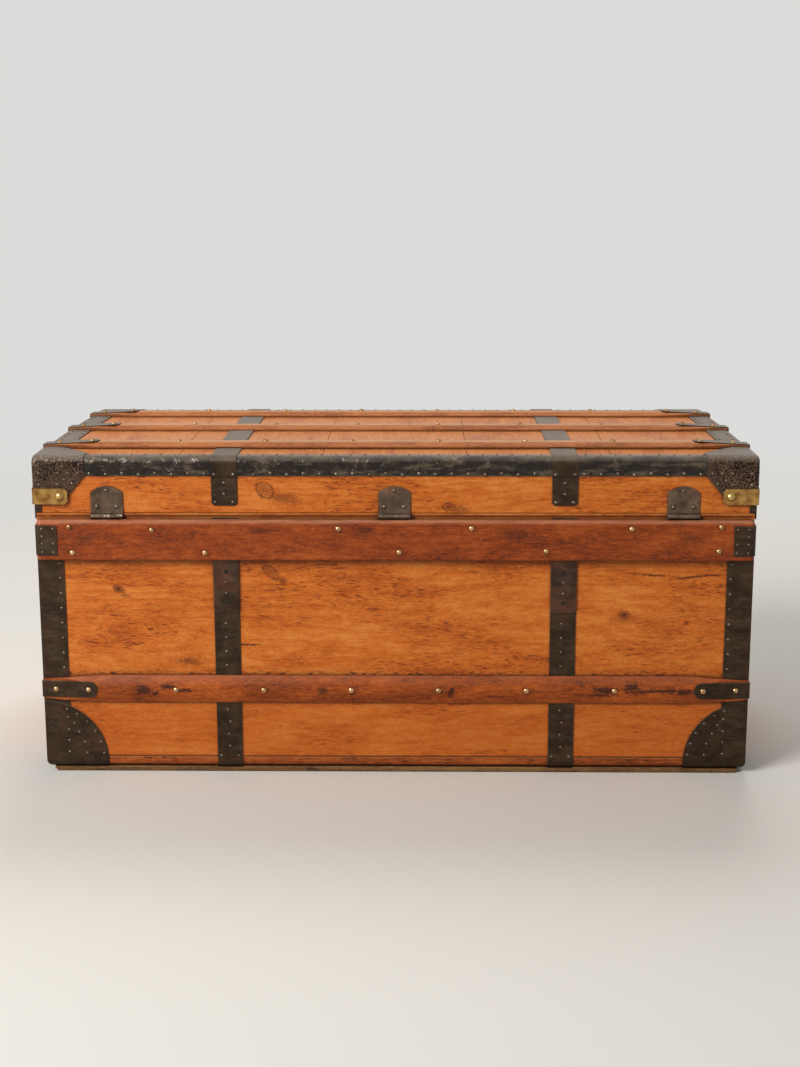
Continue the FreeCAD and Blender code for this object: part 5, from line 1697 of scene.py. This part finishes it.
@dataclass(frozen=True)
class Latch:
    """The lock or a catch, by the places of its nails.

    Attributes:
        place: Its place along the front.
        leaf_half: Distance of the hasp leaf's nails from its middle.
        case_half: Distance of the case's nails from its middle.
        foot: Height of the case's lower nails.
    """

    place: float
    leaf_half: float
    case_half: float
    foot: float


@dataclass(frozen=True)
class Fittings:
    """Hinges, lock, catches and handles, with the nails that hold them.

    Attributes:
        trunk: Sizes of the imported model.
        hinge_places: Where the hinges are along the back.
        leaf: Thickness of a leaf.
        hinge_nails: Offsets and heights of a hinge leaf's nails.
        latches: The lock and the two catches.
        latch_axis: Height of the hasps' pins.
        leaf_rise: Height of a hasp leaf's nails above the pin.
        case_depth: Thickness of the lock's and the catches' cases.
        case_top: Height of a case's upper nails.
        handle_level: Height of the handles' pins.
        handle_plate: Thickness of a handle's plate.
        plate_rivets: Distance from the plate's middle and from the pin's height of its rivets.
    """

    trunk: Trunk
    hinge_places: tuple[float, ...] = (-360.0, 0.0, 360.0)
    leaf: float = 1.4
    hinge_nails: tuple[tuple[float, float], ...] = ((0.0, 369.5), (-12.2, 349.0), (12.2, 349.0))
    latches: tuple[Latch, ...] = (Latch(0.0, 11.0, 26.0, 292.0), Latch(-330.0, 7.5, 16.0, 303.0),
                                  Latch(330.0, 7.5, 16.0, 303.0))
    latch_axis: float = 363.6
    leaf_rise: float = 11.0
    case_depth: float = 11.0
    case_top: float = 331.0
    handle_level: float = 228.0
    handle_plate: float = 2.5
    plate_rivets: tuple[tuple[float, float], ...] = ((34.0, 13.0), (73.0, 11.0))

    def dress(self, frame: dict) -> None:
        """Finish the hinges, the latches and the handles.

        Args:
            frame: The loaded frame.
        """
        dress(frame, IRON_OILED, "hinge_base_leaves", "hinge_lid_leaves")
        dress(frame, IRON, "hinge_pins")
        dress(frame, BRASS, "lock_case", "catch_cases", "hasp_leaves", "hasp_pins", "lock_hasp",
              "left_catch_hasp", "right_catch_hasp")
        dress(frame, IRON_FORGED, "lock_bolt", "handle_plate_left", "handle_plate_right", "handle_bail_left",
              "handle_bail_right")

    def build(self, chance: random.Random) -> None:
        """Drive the nails of the hinges, the latches and the handles.

        Args:
            chance: Source of the small differences.
        """
        leaf = self.trunk.out(Side.BACK, self.leaf)
        case = self.trunk.out(Side.FRONT, self.case_depth)
        spots = [Side.BACK.spot(place + across, level, leaf) for place in self.hinge_places
                 for across, level in self.hinge_nails]
        HINGE_NAIL.drive("hinge_nails", spots, "lid", chance)
        spots = [Side.FRONT.spot(latch.place + hand * latch.leaf_half, self.latch_axis + self.leaf_rise, leaf)
                 for latch in self.latches for hand in HANDS]
        LOCK_NAIL.drive("hasp_leaf_nails", spots, "lid", chance)
        spots = [Side.FRONT.spot(latch.place + hand * latch.case_half, level, case)
                 for latch in self.latches for hand in HANDS for level in (latch.foot, self.case_top)]
        LOCK_NAIL.drive("lock_case_nails", spots, "base", chance)
        plate = self.trunk.out(Side.LEFT, self.handle_plate)
        spots = [end.spot(hand * place, self.handle_level + way * rise, plate) for end in ENDS
                 for place, rise in self.plate_rivets for hand in HANDS for way in HANDS]
        PLATE_RIVET.drive("handle_rivets", spots, "base", chance)


# Studio
@dataclass(frozen=True)
class Lamp:
    """A soft panel of light.

    Attributes:
        name: Its name.
        place: Where it hangs, in metres.
        size: Its side, in metres.
        power: Its power in watts.
        mirrored: Whether polished surfaces mirror it.
    """

    name: str
    place: tuple[float, float, float]
    size: float
    power: float
    mirrored: bool = True

    def hang(self, target: Vector) -> None:
        """Hang the panel so that it faces a point.

        Args:
            target: The point, in metres.
        """
        data = bpy.data.lights.new(self.name, "AREA")
        data.shape = "DISK"
        data.size = self.size
        data.energy = self.power
        lamp = bpy.data.objects.new(self.name, data)
        lamp.location = self.place
        lamp.visible_glossy = self.mirrored
        lamp.rotation_euler = (target - Vector(self.place)).to_track_quat("-Z", "Y").to_euler()
        bpy.context.scene.collection.objects.link(lamp)


@dataclass(frozen=True)
class Studio:
    """A pale floor, soft light and the camera at the photograph's place.

    Attributes:
        floor_radius: Radius of the floor, in metres.
        floor_fade: Distances from the trunk at which the floor starts to fade, and is gone, in metres.
        floor_colour: Colour of the floor.
        sky: Colour of the room.
        sky_strength: How strongly the room lights the trunk.
        backdrop: How bright the room is where it is seen or mirrored.
        camera_place: Place of the lens, in millimetres.
        pitch: How far the camera looks down, in degrees.
        yaw: How far it looks to the left.
        roll: How far it leans.
        focus: Distance from lens to film in pixels of an image of the given height.
        image_height: Height of the image in pixels.
        aim: Height at which the lamps point, in metres.
        lamps: The panels of light.
    """

    floor_radius: float = 7.0
    floor_fade: tuple[float, float] = (0.8, 2.8)
    floor_colour: str = "#DAD6CE"
    sky: str = "#E4E4E2"
    sky_strength: float = 0.34
    backdrop: float = 0.92
    camera_place: tuple[float, float, float] = (39.2, -2217.9, 729.1)
    pitch: float = 11.75
    yaw: float = 0.93
    roll: float = -0.11
    focus: float = 1623.2
    image_height: float = 1067.0
    aim: float = 0.2
    lamps: tuple[Lamp, ...] = (
        Lamp("key panel", (-2.5, -2.4, 2.2), 2.0, 152.0),
        Lamp("far panel", (0.3, 2.3, 3.1), 2.0, 72.0, mirrored=False),
    )

    def build(self) -> None:
        """Lay the floor, hang the lamps and set the camera."""
        self.lay_floor()
        self.light_room()
        target = Vector((0, 0, self.aim))
        for lamp in self.lamps:
            lamp.hang(target)
        self.set_camera()
        bpy.context.scene.view_settings.view_transform = "Standard"

    def lay_floor(self) -> None:
        """Lay a round floor that fades into the room at its rim."""
        mesh = bmesh.new()
        bmesh.ops.create_circle(mesh, cap_ends=True, segments=96, radius=self.floor_radius)
        data = bpy.data.meshes.new("floor")
        mesh.to_mesh(data)
        mesh.free()
        paint = bpy.data.materials.new("pale studio floor")
        paint.use_nodes = True
        tree = paint.node_tree
        tree.nodes.clear()
        place = add(tree, "TexCoord").outputs["Object"]
        reach = add(tree, "VectorMath", {0: place}, operation="LENGTH").outputs["Value"]
        start, gone = self.floor_fade
        fade = add(tree, "MapRange", {"Value": reach, "From Min": start, "From Max": gone},
                   interpolation_type="SMOOTHSTEP")
        shade = add(tree, "BsdfDiffuse", {"Color": linear(self.floor_colour)})
        clear = add(tree, "BsdfTransparent")
        blend = add(tree, "MixShader", {0: fade, 1: shade, 2: clear})
        add(tree, "OutputMaterial", {"Surface": blend})
        data.materials.append(paint)
        floor = bpy.data.objects.new("floor", data)
        bpy.context.scene.collection.objects.link(floor)

    def light_room(self) -> None:
        """Light the room evenly, and show its plain colour behind the trunk."""
        room = bpy.data.worlds.new("room")
        room.use_nodes = True
        tree = room.node_tree
        tree.nodes.clear()
        ray = add(tree, "LightPath").outputs
        seen = add(tree, "Math", {0: ray["Is Camera Ray"], 1: ray["Is Glossy Ray"]}, operation="MAXIMUM")
        seen = add(tree, "Math", {0: seen, 1: ray["Is Transmission Ray"]}, operation="MAXIMUM")
        strength = add(tree, "MapRange", {"Value": seen, "To Min": self.sky_strength,
                                          "To Max": self.backdrop})
        glow = add(tree, "Background", {"Color": linear(self.sky), "Strength": strength})
        add(tree, "OutputWorld", {"Surface": glow})
        bpy.context.scene.world = room

    def set_camera(self) -> None:
        """Set the camera where the photograph was taken."""
        data = bpy.data.cameras.new("camera")
        data.sensor_fit = "VERTICAL"
        data.lens = data.sensor_height * self.focus / self.image_height
        camera = bpy.data.objects.new("camera", data)
        turn = (Matrix.Rotation(math.radians(self.yaw), 4, "Z")
                @ Matrix.Rotation(math.radians(90 - self.pitch), 4, "X")
                @ Matrix.Rotation(math.radians(self.roll), 4, "Z"))
        camera.matrix_world = Matrix.Translation(Vector(self.camera_place) * MM) @ turn
        bpy.context.scene.collection.objects.link(camera)
        bpy.context.scene.camera = camera


def main() -> None:
    """Load the frame, dress the trunk, drive its fastenings and set the studio."""
    logging.basicConfig(level=logging.INFO, format="%(name)s: %(message)s")
    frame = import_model()
    chance = random.Random(SEED)
    trunk = Trunk.measured()
    battens = Battens(trunk)
    Case().dress(frame)
    for part in (battens, BaseIron(trunk), Lid(trunk, battens), Fittings(trunk)):
        part.dress(frame)
        part.build(chance)
    Studio().build()
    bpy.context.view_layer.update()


if __name__ == "__main__":
    main()
